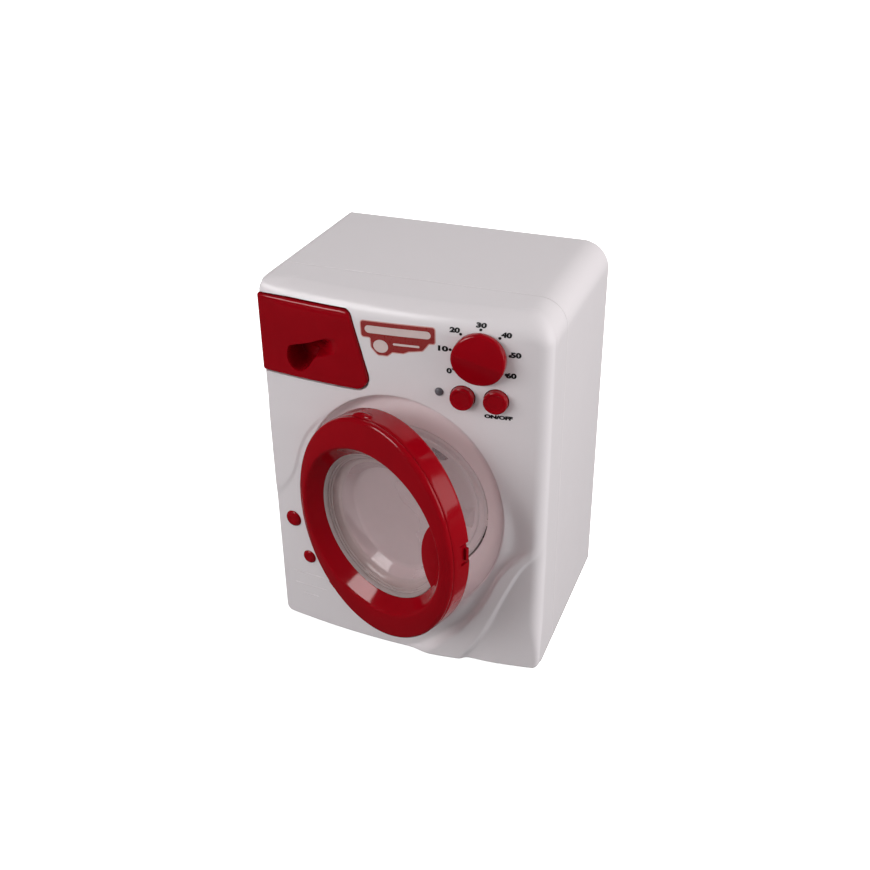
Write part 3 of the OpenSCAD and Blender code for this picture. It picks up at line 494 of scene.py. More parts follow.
def painted_glow_shell():
    """The white case, with a painted pink glow inside the door's recess: an emission that stands in for the
    light that the red door bounces into it.
    """
    # the pink colour of the painted glow in the recess
    mat = shell_finish("painted_glow_shell", Emission_Color=(1.0, 0.68, 0.68, 1))
    tree = mat.node_tree
    where = node(tree, "ShaderNodeTexCoord")
    apart = node(tree, "ShaderNodeVectorMath", operation="SUBTRACT")
    apart.inputs[1].default_value = (0, 0, DOOR_Z * MM)
    share = node(tree, "ShaderNodeVectorMath", operation="MULTIPLY")
    share.inputs[1].default_value = (1 / (PAINTED_GLOW_RX * MM), 0, 1 / (PAINTED_GLOW_RZ * MM))
    reach = node(tree, "ShaderNodeVectorMath", operation="LENGTH")
    # painted glow: full strength inside nine tenths of the oval, fading to none at its edge
    painted_glow = node(tree, "ShaderNodeMapRange", in_From_Min=0.9, in_From_Max=1.0, in_To_Min=PAINTED_GLOW_STRENGTH, in_To_Max=0.0)
    tree.links.new(where.outputs["Object"], apart.inputs[0])
    tree.links.new(apart.outputs["Vector"], share.inputs[0])
    tree.links.new(share.outputs["Vector"], reach.inputs[0])
    tree.links.new(reach.outputs["Value"], painted_glow.inputs["Value"])
    tree.links.new(painted_glow.outputs["Result"], tree.nodes["Principled BSDF"].inputs["Emission Strength"])
    return mat


def red_gloss():
    """The polished red plastic of the door, the drawer and the controls."""
    return finish("red_gloss", bpy.context.scene.washer_finishes.red, 0.1, cloud=0.06, cloud_size=22,
                  peel=0.001, peel_size=3.0, rough_play=0.03, Specular_IOR_Level=0.45)


def clear_plastic():
    """The window's clear middle, tinted pink: a painted reflection of the red door round it."""
    return finish("clear_plastic", (0.78, 0.64, 0.65), 0.05, cloud=0.02, peel=0.004, peel_size=9,
                  rough_play=0.01, IOR=1.47, Transmission_Weight=0.5, Alpha=0.66)


def milky_plastic():
    """The window's stepped rim, which lets less light through, tinted pink: a painted reflection of the red
    door round it.
    """
    return finish("milky_plastic", (0.64, 0.52, 0.51), 0.08, cloud=0.05, cloud_size=14, peel=0.006,
                  peel_size=7, rough_play=0.02, IOR=1.47, Transmission_Weight=0.4, Alpha=0.75)


def painted_glow_grey():
    """The pale grey plastic of the drum and the inner pieces, with a faint pink emission: a painted glow that
    lightens the drum seen through the window.
    """
    return finish("painted_glow_grey", (0.76, 0.70, 0.71), 0.3, cloud=0.01, peel=0.004, rough_play=0.02,
                  # painted glow: a faint pink emission, though these pieces are no lamp
                  Emission_Color=(1.0, 0.82, 0.82, 1), Emission_Strength=0.06)


def print_ink():
    """The black ink of the numbers."""
    return finish("print_ink", (0.004, 0.004, 0.005), 0.6, cloud=0.15, cloud_size=2.0, peel=0.01,
                  peel_size=0.4)


def steel():
    """Bright drawn steel, brushed along its length."""
    return finish("bright_steel", (0.62, 0.62, 0.64), 0.28, cloud=0.08, cloud_size=4, peel=0.008,
                  peel_size=0.5, streak=(1, 9, 1), Metallic=1.0)


# ---- the case ----


def case_outline(side_step=1.6, top_step=2.4, foot_step=1.5, arc=14, base=BASE_R):
    """Points round the case from the front: x, z, the outward direction and the radius of the front edge."""
    right, left, foot = HALF_W - SIDE_R, HALF_W - LEFT_R, HALF_W - base
    right_top, left_top = CASE_H - SIDE_R, CASE_H - LEFT_R
    left_brow = LEFT_R - 0.4
    points = []

    def edge_r(z, full=CORNER_R):
        return blend(min(LOW_CORNER_R, full), full, ease((z - base) / 34))

    def corner(cx, cz, r, start, steps, edge, next_edge):
        for i in range(steps):
            a = math.radians(start + 90 * i / steps)
            c, s = math.cos(a), math.sin(a)
            points.append((cx + r * c, cz + r * s, c, s, blend(edge, next_edge, ease(i / steps))))

    fine_to = min(96.0, right_top)
    for low, high, step in ((base, fine_to, side_step * 0.6), (fine_to, right_top, side_step * 1.2)):
        sides = round((high - low) / step)
        for i in range(sides):
            z = blend(low, high, i / sides)
            points.append((HALF_W, z, 1.0, 0.0, edge_r(z)))
    corner(right, right_top, SIDE_R, 0, arc, CORNER_R, BROW_R)
    across = round((right + left) / top_step)
    for i in range(across):
        x = blend(right, -left, i / across)
        points.append((x, CASE_H, 0.0, 1.0, blend(left_brow, BROW_R, ease((x + left) / 14))))
    corner(-left, left_top, LEFT_R, 90, arc, left_brow, LEFT_CORNER_R)
    sides = round((left_top - base) / side_step)
    for i in range(sides):
        z = blend(left_top, base, i / sides)
        points.append((-HALF_W, z, -1.0, 0.0, edge_r(z, LEFT_CORNER_R)))
    corner(-foot, base, base, 180, 6, LEFT_CORNER_R, FOOT_EDGE_R)
    for low, high, step in ((-foot, 4.0, foot_step * 1.3), (4.0, foot, foot_step * 0.6)):
        steps = round((high - low) / step)
        for i in range(steps):
            points.append((blend(low, high, i / steps), 0.0, 0.0, -1.0, FOOT_EDGE_R))
    corner(foot, base, base, 270, 6, FOOT_EDGE_R, LOW_CORNER_R)
    return points


def oval_ring(angles, rx, rz, depths):
    """A ring of the recess, with its own depth at each angle."""
    return [Vector((rx * math.cos(a), y, DOOR_Z + rz * math.sin(a))) for a, y in zip(angles, depths)]


def front_shell_mesh():
    """The case's front half: skirt, rounded edges, bowed front with its ribbon, recess and inner walls."""
    points = case_outline()
    outer = [Vector((x, 0, z)) for x, z, nx, nz, r in points]
    normals = [Vector((nx, 0, nz)) for x, z, nx, nz, r in points]
    walls = [Vector((x, 0, z)) for x, z, nx, nz, r in case_outline(base=FOOT_R)]
    count, face_rings, arc_steps = len(points), 66, 12

    def wall_ring(inset, ys):
        inner = inset > 1
        ring = [Vector((p.x - n.x * inset, y, p.z - n.z * inset))
                for p, n, y in zip(outer if inner else walls, normals, ys)]
        return ring if inner else [crisp(q, inset) for q in ring]

    # the rounded edge between the skirt and the bowed front, as one arc at each point of the outline
    arcs = []
    for p, n, (x, z, nx, nz, r) in zip(outer, normals, points):
        centre = p - n * r
        run = math.sqrt((BOW_R - r) ** 2 - centre.x**2)
        centre.y = BOW_CY - run
        face = Vector((centre.x, -run, 0)).normalized()
        whole = n.angle(face)
        row = []
        for k in range(arc_steps + 1):
            t = k / arc_steps
            d = (n * math.sin((1 - t) * whole) + face * math.sin(t * whole)) / math.sin(whole)
            q = centre + d * r
            q.y -= relief(q.x, q.z)
            row.append(q)
        arcs.append(row)
    corner = [row[0].y for row in arcs]
    arcs = [[crisp(q) for q in row] for row in arcs]

    # the skirt, from the wall's inside at the seam to the edge
    rings = [wall_ring(inset, [SEAM_Y - step] * count)
             for inset, step in ((WALL, 0.0), (0.35, 0.0), (0.1, 0.1), (0.0, 0.35), (0.0, 0.9))]
    for t in (0.4, 0.65, 0.85):
        rings.append(wall_ring(0.0, [blend(SEAM_Y - 0.9, y + 0.7, t) for y in corner]))
    rings.append([crisp(Vector((p.x, y + 0.7, p.z))) for p, y in zip(outer, corner)])
    rings += [[row[k] for row in arcs] for k in range(arc_steps + 1)]

    # the bowed front, drawn in from the edge to the mouth of the recess
    edge = rings[-1]
    rx, rz = RECESS_RX + RECESS_LIP, RECESS_RZ + RECESS_LIP
    lip, angles = [], []
    for q in edge:
        dx, dz = q.x, q.z - DOOR_Z
        scale = 1 / math.sqrt((dx / rx) ** 2 + (dz / rz) ** 2)
        lip.append((dx * scale, DOOR_Z + dz * scale))
        angles.append(math.atan2(dz / rz, dx / rx))
    for k in range(1, face_rings + 1):
        t = k / face_rings
        ring = []
        for q, (lx, lz) in zip(edge, lip):
            x, z = blend(q.x, lx, t), blend(q.z, lz, t)
            ring.append(crisp(Vector((x, front_y(x) - relief(x, z), z))))
        rings.append(ring)

    # the recess: its lip, its hollow wall, its flat floor and the rim round the drum's opening
    lip_y = [q.y for q in rings[-1]]
    for a in quarter(4)[1:]:
        inset = RECESS_LIP * math.sin(a)
        depths = [y + RECESS_LIP * (1 - math.cos(a)) for y in lip_y]
        rings.append(oval_ring(angles, rx - inset, rz - inset, depths))
    for a in quarter(14)[1:]:
        inset = RECESS_LIP + COVE_R * (1 - math.cos(a))
        depths = [blend(y + RECESS_LIP, FLOOR_Y, math.sin(a)) for y in lip_y]
        rings.append(oval_ring(angles, rx - inset, rz - inset, depths))
    floor_rx, floor_rz, rim_r = rx - RECESS_LIP - COVE_R, rz - RECESS_LIP - COVE_R, RIM_R + 0.5
    for t in (0.12, 0.5, 0.9, 1.0):
        flat_x, flat_z = blend(floor_rx, rim_r, t), blend(floor_rz, rim_r, t)
        rings.append(oval_ring(angles, flat_x, flat_z, [FLOOR_Y] * count))
    for r, depth in ((RIM_R + 0.15, 0.15), (RIM_R, 0.5), (RIM_R, WALL)):
        rings.append(oval_ring(angles, r, r, [FLOOR_Y + depth] * count))

    # the inner walls, back to the seam
    behind = oval_ring(angles, BEHIND_RX, BEHIND_RZ, [FLOOR_Y + WALL] * count)
    inside = []
    for q in behind:
        y = front_y(q.x) + WALL - min(relief(q.x, q.z), 0.0)
        inside.append(Vector((q.x, min(y, q.y - 0.4), q.z)))
    rings += [behind, inside]
    for t in (0.34, 0.67, 1.0):
        ring = []
        for q, p, n, (x, z, nx, nz, r) in zip(inside, outer, normals, points):
            depth = max(r, 3.0)
            x, z = blend(q.x, p.x - n.x * depth, t), blend(q.z, p.z - n.z * depth, t)
            ring.append(Vector((x, front_y(x) + WALL - min(relief(x, z), 0.0), z)))
        rings.append(ring)
    rings.append(wall_ring(WALL, [y + 0.4 + max(relief(p.x, p.z), 0) for y, p in zip(corner, outer)]))
    return skin(rings, shut=True)


# The drawer front: its edges, how far its right end slants, the radii there, and the middles of those arcs.
DRAWER_TOP, DRAWER_LOW, DRAWER_RIGHT, DRAWER_SLANT = 212.7, 168.0, -25.5, 12.0
DRAWER_BACK = -47.0
LEAN = math.atan2(DRAWER_SLANT, DRAWER_TOP - DRAWER_LOW)
DRAWER_RT, DRAWER_RB = 4.6, 7.6
CORNER_TOP = (DRAWER_RIGHT - DRAWER_RT * (1 - math.sin(LEAN)) / math.cos(LEAN), DRAWER_TOP - DRAWER_RT)
CORNER_LOW = (DRAWER_RIGHT + DRAWER_SLANT - DRAWER_RB * (1 + math.sin(LEAN)) / math.cos(LEAN),
              DRAWER_LOW + DRAWER_RB)


def droop(x, z):
    """Height of a point of the drawer front once its lower edge has been leant a little."""
    return z + 0.017 * (x + 52) * (DRAWER_TOP - z) / (DRAWER_TOP - DRAWER_LOW)


def drawer_outline(g, left=-100.0):
    """The drawer front's outline, grown by g."""
    out = [(left, DRAWER_TOP + g)]
    lean = math.degrees(LEAN)
    for (cx, cz), r, start, end in ((CORNER_TOP, DRAWER_RT, 90, lean), (CORNER_LOW, DRAWER_RB, lean, -90)):
        for i in range(13):
            a = math.radians(blend(start, end, i / 12))
            out.append((cx + (r + g) * math.cos(a), cz + (r + g) * math.sin(a)))
    return [(x, droop(x, z)) for x, z in out + [(left, DRAWER_LOW - g)]]


# The grooves low on the left as (left end, right end, height), and the posts that take the screws.
GROOVES = ((-73.2, -51.1, 34.0), (-72.9, -50.7, 25.5), (-67.8, -56.6, 18.7))
BOSS_R, BOSS_BORE_R, BOSS_TIP_Y = 4.6, 1.5, -57.5


def build_front_shell():
    """The front half of the case with its openings, grooves and screw bosses."""
    cuts = [prism(drawer_outline(0.9), -100, DRAWER_BACK + 0.4)]
    for x, z in BUTTONS.values():
        cuts.append(moved(rod(size("button_radius") + 0.4, -6, 6, 64), on_panel(x, z)))
    cuts.append(moved(rod(3.4, -5, 8), on_panel(DIAL_X, DIAL_Z)))
    cuts.append(moved(rod(2.4, -5, 5), on_panel(*LAMP)))
    for x, z, r in CAPS.values():
        cuts.append(moved(rod(2.7, -5, 6), on_front(x, z)))
    for low in (DOOR_Z - 14.5, DOOR_Z + 10.5):
        cuts.append(brick((HINGE.x - 2.15, -60, low - 0.15), (HINGE.x + 2.15, -50, low + 4.15)))
    for x0, x1, z in GROOVES:
        groove = brick(((x0 - x1) / 2, -1, -0.3), ((x1 - x0) / 2, 0.32, 0.3))
        cuts.append(moved(groove, on_front((x0 + x1) / 2, z) @ Matrix.Rotation(-0.05, 4, "Y")))
    shell = carved(front_shell_mesh(), cuts)
    boss = [(BOSS_R, BOSS_TIP_Y), (BOSS_R, SEAM_Y), (BOSS_BORE_R, SEAM_Y), (BOSS_BORE_R, BOSS_TIP_Y)]
    bosses = [moved(lathe(boss), at(x, 0, z)) for x, z in POSTS[:4]]
    # the front half takes the white finish with the painted pink glow in its recess
    piece(joined(shell, *bosses), "case_front", "case", painted_glow_shell(), ["front_shell"])


COVER_HALF_W, COVER_LOW, COVER_HIGH, COVER_SCREW_Z = 24.6, 9.7, 79.3, 75.0


def cover_outline(gap, corner_r):
    """The battery cover's outline, with a gap all round."""
    half, low, high = COVER_HALF_W - gap, COVER_LOW + gap, COVER_HIGH - gap
    return rounded([(-half, high), (half, high), (half, low), (-half, low)], [corner_r] * 4)


def build_rear_housing():
    """The rear half of the case with the cells' bay, the screw tubes and the speaker's holes."""
    points = case_outline(side_step=3.0, top_step=4.0, foot_step=4.0, arc=12, base=FOOT_R)
    seam, back_r, head_r, bore_r = SEAM_Y + 0.12, 0.9, 3.0, 1.7

    def ring(inset, y):
        return [crisp(Vector((x - nx * inset, y, z - nz * inset)), inset) for x, z, nx, nz, r in points]

    rings = [ring(WALL, BACK_Y - WALL), ring(WALL, seam), ring(0.35, seam), ring(0.1, seam + 0.1),
             ring(0.0, seam + 0.35), ring(0.0, seam + 0.9), ring(0.0, BACK_Y - 1.2)]
    for a in quarter(6):
        rings.append(ring(back_r * (1 - math.cos(a)), BACK_Y - back_r + back_r * math.sin(a)))
    rings.append(ring(1.3, BACK_Y))
    shell = skin(rings, cap_first=True, cap_last=True)
    cuts = [brick((-22, 50, 13.6), (22, 70, 69.2)), prism(cover_outline(0, 2.2), 57.8, 70),
            moved(rod(3.05, 50, 70), at(0, 0, COVER_SCREW_Z))]
    for x, z in POSTS:
        cuts.append(moved(rod(head_r, 50, 70, 40), at(x, 0, z)))
    for row in range(3):
        for k in range(max(6 * row, 1)):
            a = math.radians(60 * k / max(row, 1))
            hole = at(5 * row * math.cos(a), 0, SPEAKER_Z + 5 * row * math.sin(a))
            cuts.append(moved(rod(1.2, 50, 70, 20), hole))
    shell = carved(shell, cuts)
    low, step, high = SEAM_Y + 0.2, SEAM_Y + 3, BACK_Y - 1
    tube = [(BOSS_R, low), (BOSS_R, high), (head_r, high), (head_r, step), (bore_r, step), (bore_r, low)]
    tubes = [moved(lathe(tube), at(x, 0, z)) for x, z in POSTS]
    piece(joined(shell, *tubes), "case_rear", "case", white_shell(), ["rear_housing"])


def build_battery_cover():
    """The battery cover with its five grip grooves."""
    plate = prism(cover_outline(0.4, 1.9), 57.85, 58.95)
    ease_edges(plate, [e for e in plate.edges if min(v.co.y for v in e.verts) > 58.9])
    cuts = [moved(rod(2.1, 57, 70), at(0, 0, COVER_SCREW_Z))]
    for k in range(5):
        cuts.append(brick((-9, 58.35, 15.4 + 3 * k), (9, 60, 16.6 + 3 * k), 0.35))
    lid = carved(plate, cuts)
    piece(lid, "battery_lid", "case", white_shell(), ["battery_cover"], sharp=12.0)


# ---- the door ----


def door_ring(rx, rz, d):
    """A closed ring of the door, d behind its lip."""
    return [Vector((rx * c, LIP_Y + d, DOOR_Z + rz * s)) for c, s in spokes(160)]


def hinge_cut():
    """The gap in the door's rings that clears the hinge."""
    back = LIP_Y + size("ring_depth") + 1
    return brick((HINGE.x - 12, HINGE.y - 3.7, DOOR_Z - 16), (HINGE.x + 4.4, back, DOOR_Z + 16))


def front_ring():
    """The door's front ring: a rounded lip, a full face, the crease and the funnel down to the window."""
    rx, rz, window, lip = size("ring_width") / 2, size("ring_height") / 2, size("window_radius"), 2.5
    rings = [door_ring(rx - inset, rz - inset, d)
             for d, inset in ((SPLIT_D, 0.45), (SPLIT_D - 0.08, 0.12), (SPLIT_D - 0.25, 0.0), (2.9, 0.0))]
    for a in quarter(6):
        inset = lip * (1 - math.cos(a))
        rings.append(door_ring(rx - inset, rz - inset, lip * (1 - math.sin(a))))
    for k in range(1, 9):
        t = k / 8
        rings.append(door_ring(blend(rx - lip, CREASE_R + 0.5, t), blend(rz - lip, CREASE_R + 0.5, t),
                               -1.2 * math.sin(t * math.pi / 2)))
    for r, d in ((CREASE_R, -1.1), (CREASE_R - 0.45, -0.8), (CREASE_R - 1.2, -0.05)):
        rings.append(door_ring(r, r, d))
    for k in range(1, 7):
        t = k / 6
        r = blend(CREASE_R - 1.2, window + 0.4, t)
        rings.append(door_ring(r, r, blend(-0.05, FUNNEL_D - 0.3, t) + 0.05 * math.sin(math.pi * t)))
    for r, d in ((window, FUNNEL_D + 0.2), (window, 8.4), (window + 3, 8.4), (CREASE_R + 1, 2.0)):
        rings.append(door_ring(r, r, d))
    rings += [door_ring(rx - 2, rz - 2, 2.0), door_ring(rx - 2, rz - 2, SPLIT_D)]
    return carved(skin(rings, shut=True), [hinge_cut()])


def grip_plate():
    """The little plate low at the window's right: a round disc, cut off along the funnel's end."""
    outer, grip_r, grip_x, grip_z = size("window_radius") + 1.2, 33, 64, 96 - DOOR_Z
    outline = []
    for k in range(73):
        a = math.radians(180 - 66 + 132 * k / 72)
        x, z = grip_x + grip_r * math.cos(a), grip_z + grip_r * math.sin(a)
        if math.hypot(x, z) < outer:
            outline.append((x, DOOR_Z + z))
    start = math.atan2(outline[-1][1] - DOOR_Z, outline[-1][0])
    end = math.atan2(outline[0][1] - DOOR_Z, outline[0][0])
    for k in range(1, 40):
        a = blend(start, end, k / 40)
        outline.append((outer * math.cos(a), DOOR_Z + outer * math.sin(a)))
    plate = prism(outline, LIP_Y + 6.3, LIP_Y + 8.0)
    ease_edges(plate, [e for e in plate.edges if abs(e.verts[0].co.y - e.verts[1].co.y) < 1e-5])
    return plate


def edge_nub():
    """The small nub low on the ring's left edge."""
    a = math.radians(231.5)
    out_x, out_z = size("ring_width") / 2 - 0.2, size("ring_height") / 2 - 0.2
    place = at(out_x * math.cos(a), LIP_Y + 2.2, DOOR_Z + out_z * math.sin(a))
    nub = brick((-2.6, -1.0, -1.1), (2.6, 1.0, 1.1), 0.6)
    return moved(nub, place @ Matrix.Rotation(-(a + math.pi / 2), 4, "Y"))


def back_ring():
    """The door's back ring behind the split line, with the notch for its latch."""
    rx, rz, deep = size("ring_width") / 2, size("ring_height") / 2, size("ring_depth")
    window, back_r, first = size("window_radius"), 1.6, SPLIT_D + 0.1
    rings = [door_ring(rx - inset, rz - inset, d)
             for d, inset in ((first, 0.45), (SPLIT_D + 0.18, 0.12), (SPLIT_D + 0.35, 0.0), (5.9, 0.0),
                              (14.6, 0.0))]
    for a in quarter(6):
        inset = back_r * (1 - math.cos(a))
        rings.append(door_ring(rx - inset, rz - inset, deep - back_r * (1 - math.sin(a))))
    for r, d in ((window - 0.9, deep), (window - 1.4, deep - 0.5), (window - 1.4, 11.1),
                 (window + 1, 11.1), (window + 1, deep - 2)):
        rings.append(door_ring(r, r, d))
    rings += [door_ring(rx - 2, rz - 2, deep - 2), door_ring(rx - 2, rz - 2, first)]
    back = LIP_Y + deep
    notch = brick((rx - 4, back - 7.6, DOOR_Z - 1), (rx + 4, back + 1, DOOR_Z + 11))
    return carved(skin(rings, shut=True), [hinge_cut(), notch])


def top_lug():
    """The long swollen lug on top of the back ring."""
    rx, rz, steps = size("ring_width") / 2, size("ring_height") / 2, 24
    rings = []
    for k in range(steps + 1):
        t = -1 + 2 * k / steps
        x = -8.4 + 7.3 * t
        swell = math.sqrt(max(1 - abs(t) ** 3, 0.0)) + 0.02
        y, z = LIP_Y + SPLIT_D + 3.0, DOOR_Z + rz * math.sqrt(1 - (x / rx) ** 2) - 0.6
        rings.append([Vector((x, y + 2.7 * swell * c, z + 2.0 * swell * s)) for c, s in spokes(16)])
    return skin(rings, cap_first=True, cap_last=True)


def build_door():
    """The two halves of the door, each with what is moulded on it."""
    red, place = red_gloss(), ajar()
    front = joined(front_ring(), grip_plate(), edge_nub())
    piece(moved(front, place), "door_front", "door", red, ["door_front_ring"])

    barrel = lathe([(1.05, -10), (2.6, -10), (3, -9.6), (3, 9.6), (2.6, 10), (1.05, 10)], 40)
    knuckle = moved(barrel, at(HINGE.x, HINGE.y, DOOR_Z) @ Matrix.Rotation(math.pi / 2, 4, "X"))
    low, high = DOOR_Z - 10, DOOR_Z + 10
    back = LIP_Y + size("ring_depth") - 0.6
    web = brick((HINGE.x + 1.6, HINGE.y - 2.4, low), (HINGE.x + 4.2, HINGE.y + 2.4, high), 0.4)
    foot = brick((HINGE.x + 3.4, LIP_Y + 9, low), (HINGE.x + 5.4, back, high), 0.4)
    rear = joined(back_ring(), top_lug(), knuckle, web, foot)
    piece(moved(rear, place), "door_back", "door", red, ["door_back_ring"])


def build_window():
    """The deep bowl with its stepped, milky rim."""
    edge, seat, back = size("window_radius") - 0.12, FUNNEL_D + 2.1, FUNNEL_D + 3.9
    inside = [(0, 22.2), (26, 22.1), (30, 21.8), (32.2, 21.0), (33.4, 19.6), (36.4, 15.6), (37.0, 15.1),
              (38.6, 14.7), (39.4, 13.8)]
    rim = [(edge - 1.3, back + 0.5), (edge - 0.7, back), (45.2, back), (45.2, seat), (edge, seat),
           (edge, FUNNEL_D + 0.5), (edge - 0.15, FUNNEL_D + 0.3), (edge - 0.5, FUNNEL_D + 0.35),
           (edge - 1.2, FUNNEL_D + 1.1)]
    steps = [(41.1, 8.0), (40.9, 8.7), (40.2, 9.0), (40.0, 9.9), (39.3, 10.2), (39.1, 11.2), (38.4, 12.0),
             (37.7, 12.9), (36.9, 13.3), (35.6, 13.6), (34.9, 14.2)]
    dome = [(31.8, 18.8), (30.8, 19.8), (29, 20.2), (0, 20.4)]
    milky_from = 36.2
    bowl = lathe([(r, LIP_Y + d) for r, d in inside + rim + steps + dome], 144)
    for face in bowl.faces:
        middle = face.calc_center_median()
        if math.hypot(middle.x, middle.z) > milky_from:
            face.material_index = 1
    bowl = moved(bowl, ajar() @ at(0, 0, DOOR_Z))
    bowl = piece(bowl, "door_bowl", "door", clear_plastic(), ["door_window"])
    bowl.data.materials.append(milky_plastic())


# ---- drawer front ----


def drawer_right(z):
    """The drawer front's right end at a height."""
    if z > CORNER_TOP[1] + DRAWER_RT * math.sin(LEAN):
        return CORNER_TOP[0] + math.sqrt(max(DRAWER_RT**2 - (z - CORNER_TOP[1]) ** 2, 0))
    if z < CORNER_LOW[1] + DRAWER_RB * math.sin(LEAN):
        return CORNER_LOW[0] + math.sqrt(max(DRAWER_RB**2 - (z - CORNER_LOW[1]) ** 2, 0))
    return DRAWER_RIGHT + (DRAWER_TOP - z) * math.tan(LEAN)


def drawer_border(x, z):
    """Distance of a point inside the drawer front from its outline."""
    slant = (x - DRAWER_RIGHT) * math.cos(LEAN) + (z - DRAWER_TOP) * math.sin(LEAN)
    near = min(DRAWER_TOP - z, z - DRAWER_LOW, -slant)
    quarter_turn = math.pi / 2
    for (cx, cz), r, low, high in ((CORNER_TOP, DRAWER_RT, LEAN, quarter_turn),
                                   (CORNER_LOW, DRAWER_RB, -quarter_turn, LEAN)):
        if low < math.atan2(z - cz, x - cx) < high:
            near = min(near, r - math.hypot(x - cx, z - cz))
    return max(near, 0.0)


def drawer_slab():
    """The drawer front's plate, which follows the bow and wraps round the left corner."""
    edge, thick = 1.3, 1.6
    kx = HALF_W - LEFT_CORNER_R
    ky = BOW_CY - math.sqrt((BOW_R - LEFT_CORNER_R) ** 2 - kx * kx)
    turn = math.asin(kx / (BOW_R - LEFT_CORNER_R))
    fine = [0, 0.12, 0.3, 0.6, 1.0, edge]
    middle = [blend(DRAWER_LOW + edge, DRAWER_TOP - edge, i / 22) for i in range(1, 22)]
    heights = [DRAWER_LOW + f for f in fine] + middle + [DRAWER_TOP - f for f in reversed(fine)]

    def section(z):
        rows = min(DRAWER_TOP - z, z - DRAWER_LOW)
        corner_y = ky + fallen(-kx, z)

        def proud(d):
            d = min(max(d, 0.0), rows, edge)
            return 1.0 - (edge - math.sqrt(edge**2 - (edge - d) ** 2))

        face = [Vector((-(HALF_W + proud(f)), DRAWER_BACK - f, z)) for f in fine + [2.5, 4, 6, 8]
                if DRAWER_BACK - f > ky + 0.2 + LEFT_CORNER_R]
        for k in range(11):
            a = math.pi + (math.pi / 2 - turn) * k / 10
            r = LEFT_CORNER_R + proud(rows)
            face.append(Vector((-kx + r * math.cos(a), corner_y + r * math.sin(a), z)))
        x0, x1 = 0.6 - BOW_R * math.sin(turn), drawer_right(z)
        places = [blend(x0, x1 - edge - 0.6, i / 25) for i in range(1, 26)]
        places += [x1 - f for f in [edge + 0.3] + fine[::-1]]
        for x in places:
            face.append(Vector((x, front_y(x, -proud(drawer_border(x, z))) + fallen(x, z), z)))
        back = []
        for p in reversed(face):
            if p.y >= corner_y:
                back.append(Vector((thick - HALF_W, p.y, z)))
            elif p.x > -kx:
                back.append(Vector((p.x, front_y(p.x, thick) + fallen(p.x, z), z)))
            else:
                out = Vector((p.x + kx, p.y - corner_y, 0)).normalized()
                back.append(Vector((1.5 - kx, corner_y + 1.5, z)) + out * 0.4)
        return face + back

    return skin([section(z) for z in heights], cap_first=True, cap_last=True)


# The finger pull: its outline's corners as (x, height), the middle of its deep end, and its floor and wall.
PULL_CORNERS = [(-64.2, 183.3), (-62.6, 186.3), (-55.9, 188.6), (-47.8, 191.4), (-43.0, 193.6),
                (-38.3, 195.2), (-34.2, 194.6), (-32.9, 191.3), (-35.1, 187.2), (-40.6, 184.6),
                (-47.3, 181.8), (-52.3, 175.4), (-57.0, 172.4), (-61.8, 173.6), (-64.6, 178.4)]
PULL_MIDDLE = Vector((-57.8, 181.4))
PULL_DEPTH, PULL_FLOOR_R, PULL_WALL = 14.6, 5.8, 1.4


def pull_outline(each=6):
    """The finger pull's outline, smoothed through its corners."""
    out, n = [], len(PULL_CORNERS)
    for i in range(n):
        p0, p1, p2, p3 = (Vector(PULL_CORNERS[(i + k) % n]) for k in (-1, 0, 1, 2))
        for k in range(each):
            t = k / each
            out.append(0.5 * (2 * p1 + (p2 - p0) * t + (2 * p0 - 5 * p1 + 4 * p2 - p3) * t * t
                              + (3 * p1 - p0 - 3 * p2 + p3) * t**3))
    return out


def upright(q):
    """How upright the pull's wall starts: steep round its deep left end, running out on the right."""
    along_it = min(max((q.x + 64.2) / 31.3, 0.0), 1.0)
    if (q.y - PULL_MIDDLE.y) < 0.45 * (q.x - PULL_MIDDLE.x) + 2:
        return 1 - ease((along_it - 0.3) / 0.35)
    return 1 - 0.96 * ease((along_it - 0.4) / 0.42)


def finger_pull(wall=0.0):
    """The hollow of the finger pull, or the body round it that leaves it a wall."""
    outline = pull_outline()

    def mouth(q, y):
        out = q - PULL_MIDDLE
        side = out.normalized() * (wall or blend(0.12 * out.length, 0.55, upright(q)))
        return Vector((q.x + side.x, y, q.y + side.y))

    def slope(q, t):
        out, w = (q - PULL_MIDDLE).normalized(), upright(q)
        rim, foot = q + out * wall, PULL_MIDDLE + out * (PULL_FLOOR_R + wall)
        inset = blend(t, 1 - math.cos(t * math.pi / 2), w)
        down = blend(ease(t) * 0.75 + 0.25 * t, math.sin(t * math.pi / 2), w)
        y = front_y(q.x) - blend(0.97, 0.3, w) + (PULL_DEPTH + wall) * down
        return Vector((blend(rim.x, foot.x, inset), y, blend(rim.y, foot.y, inset)))

    if wall:
        rings = [[mouth(q, front_y(q.x, 0.5)) for q in outline]]
    else:
        rings = [[mouth(q, -90.0) for q in outline], [mouth(q, front_y(q.x, -1.6)) for q in outline],
                 [slope(q, 0) for q in outline]]
    rings += [[slope(q, k / 11) for q in outline] for k in range(1, 12)]
    last = rings[-1]
    floor = Vector((PULL_MIDDLE.x, sum(q.y for q in last) / len(last), PULL_MIDDLE.y))
    for share in (0.4, 0.7, 0.92):
        ring = [q.lerp(floor, share) for q in last]
        for q in ring:
            q.y = blend(q.y, floor.y, ease(share))
        rings.append(ring)
    return skin(rings, cap_first=True, cap_last=True)


def build_drawer_front():
    """The drawer front with its finger pull."""
    front = carved(drawer_slab(), [finger_pull()], [finger_pull(PULL_WALL)])
    for vert in front.verts:
        vert.co.z = droop(vert.co.x, vert.co.z)
    piece(front, "drawer_fascia", "drawer", red_gloss(), ["drawer_front"])


# ---- controls ----


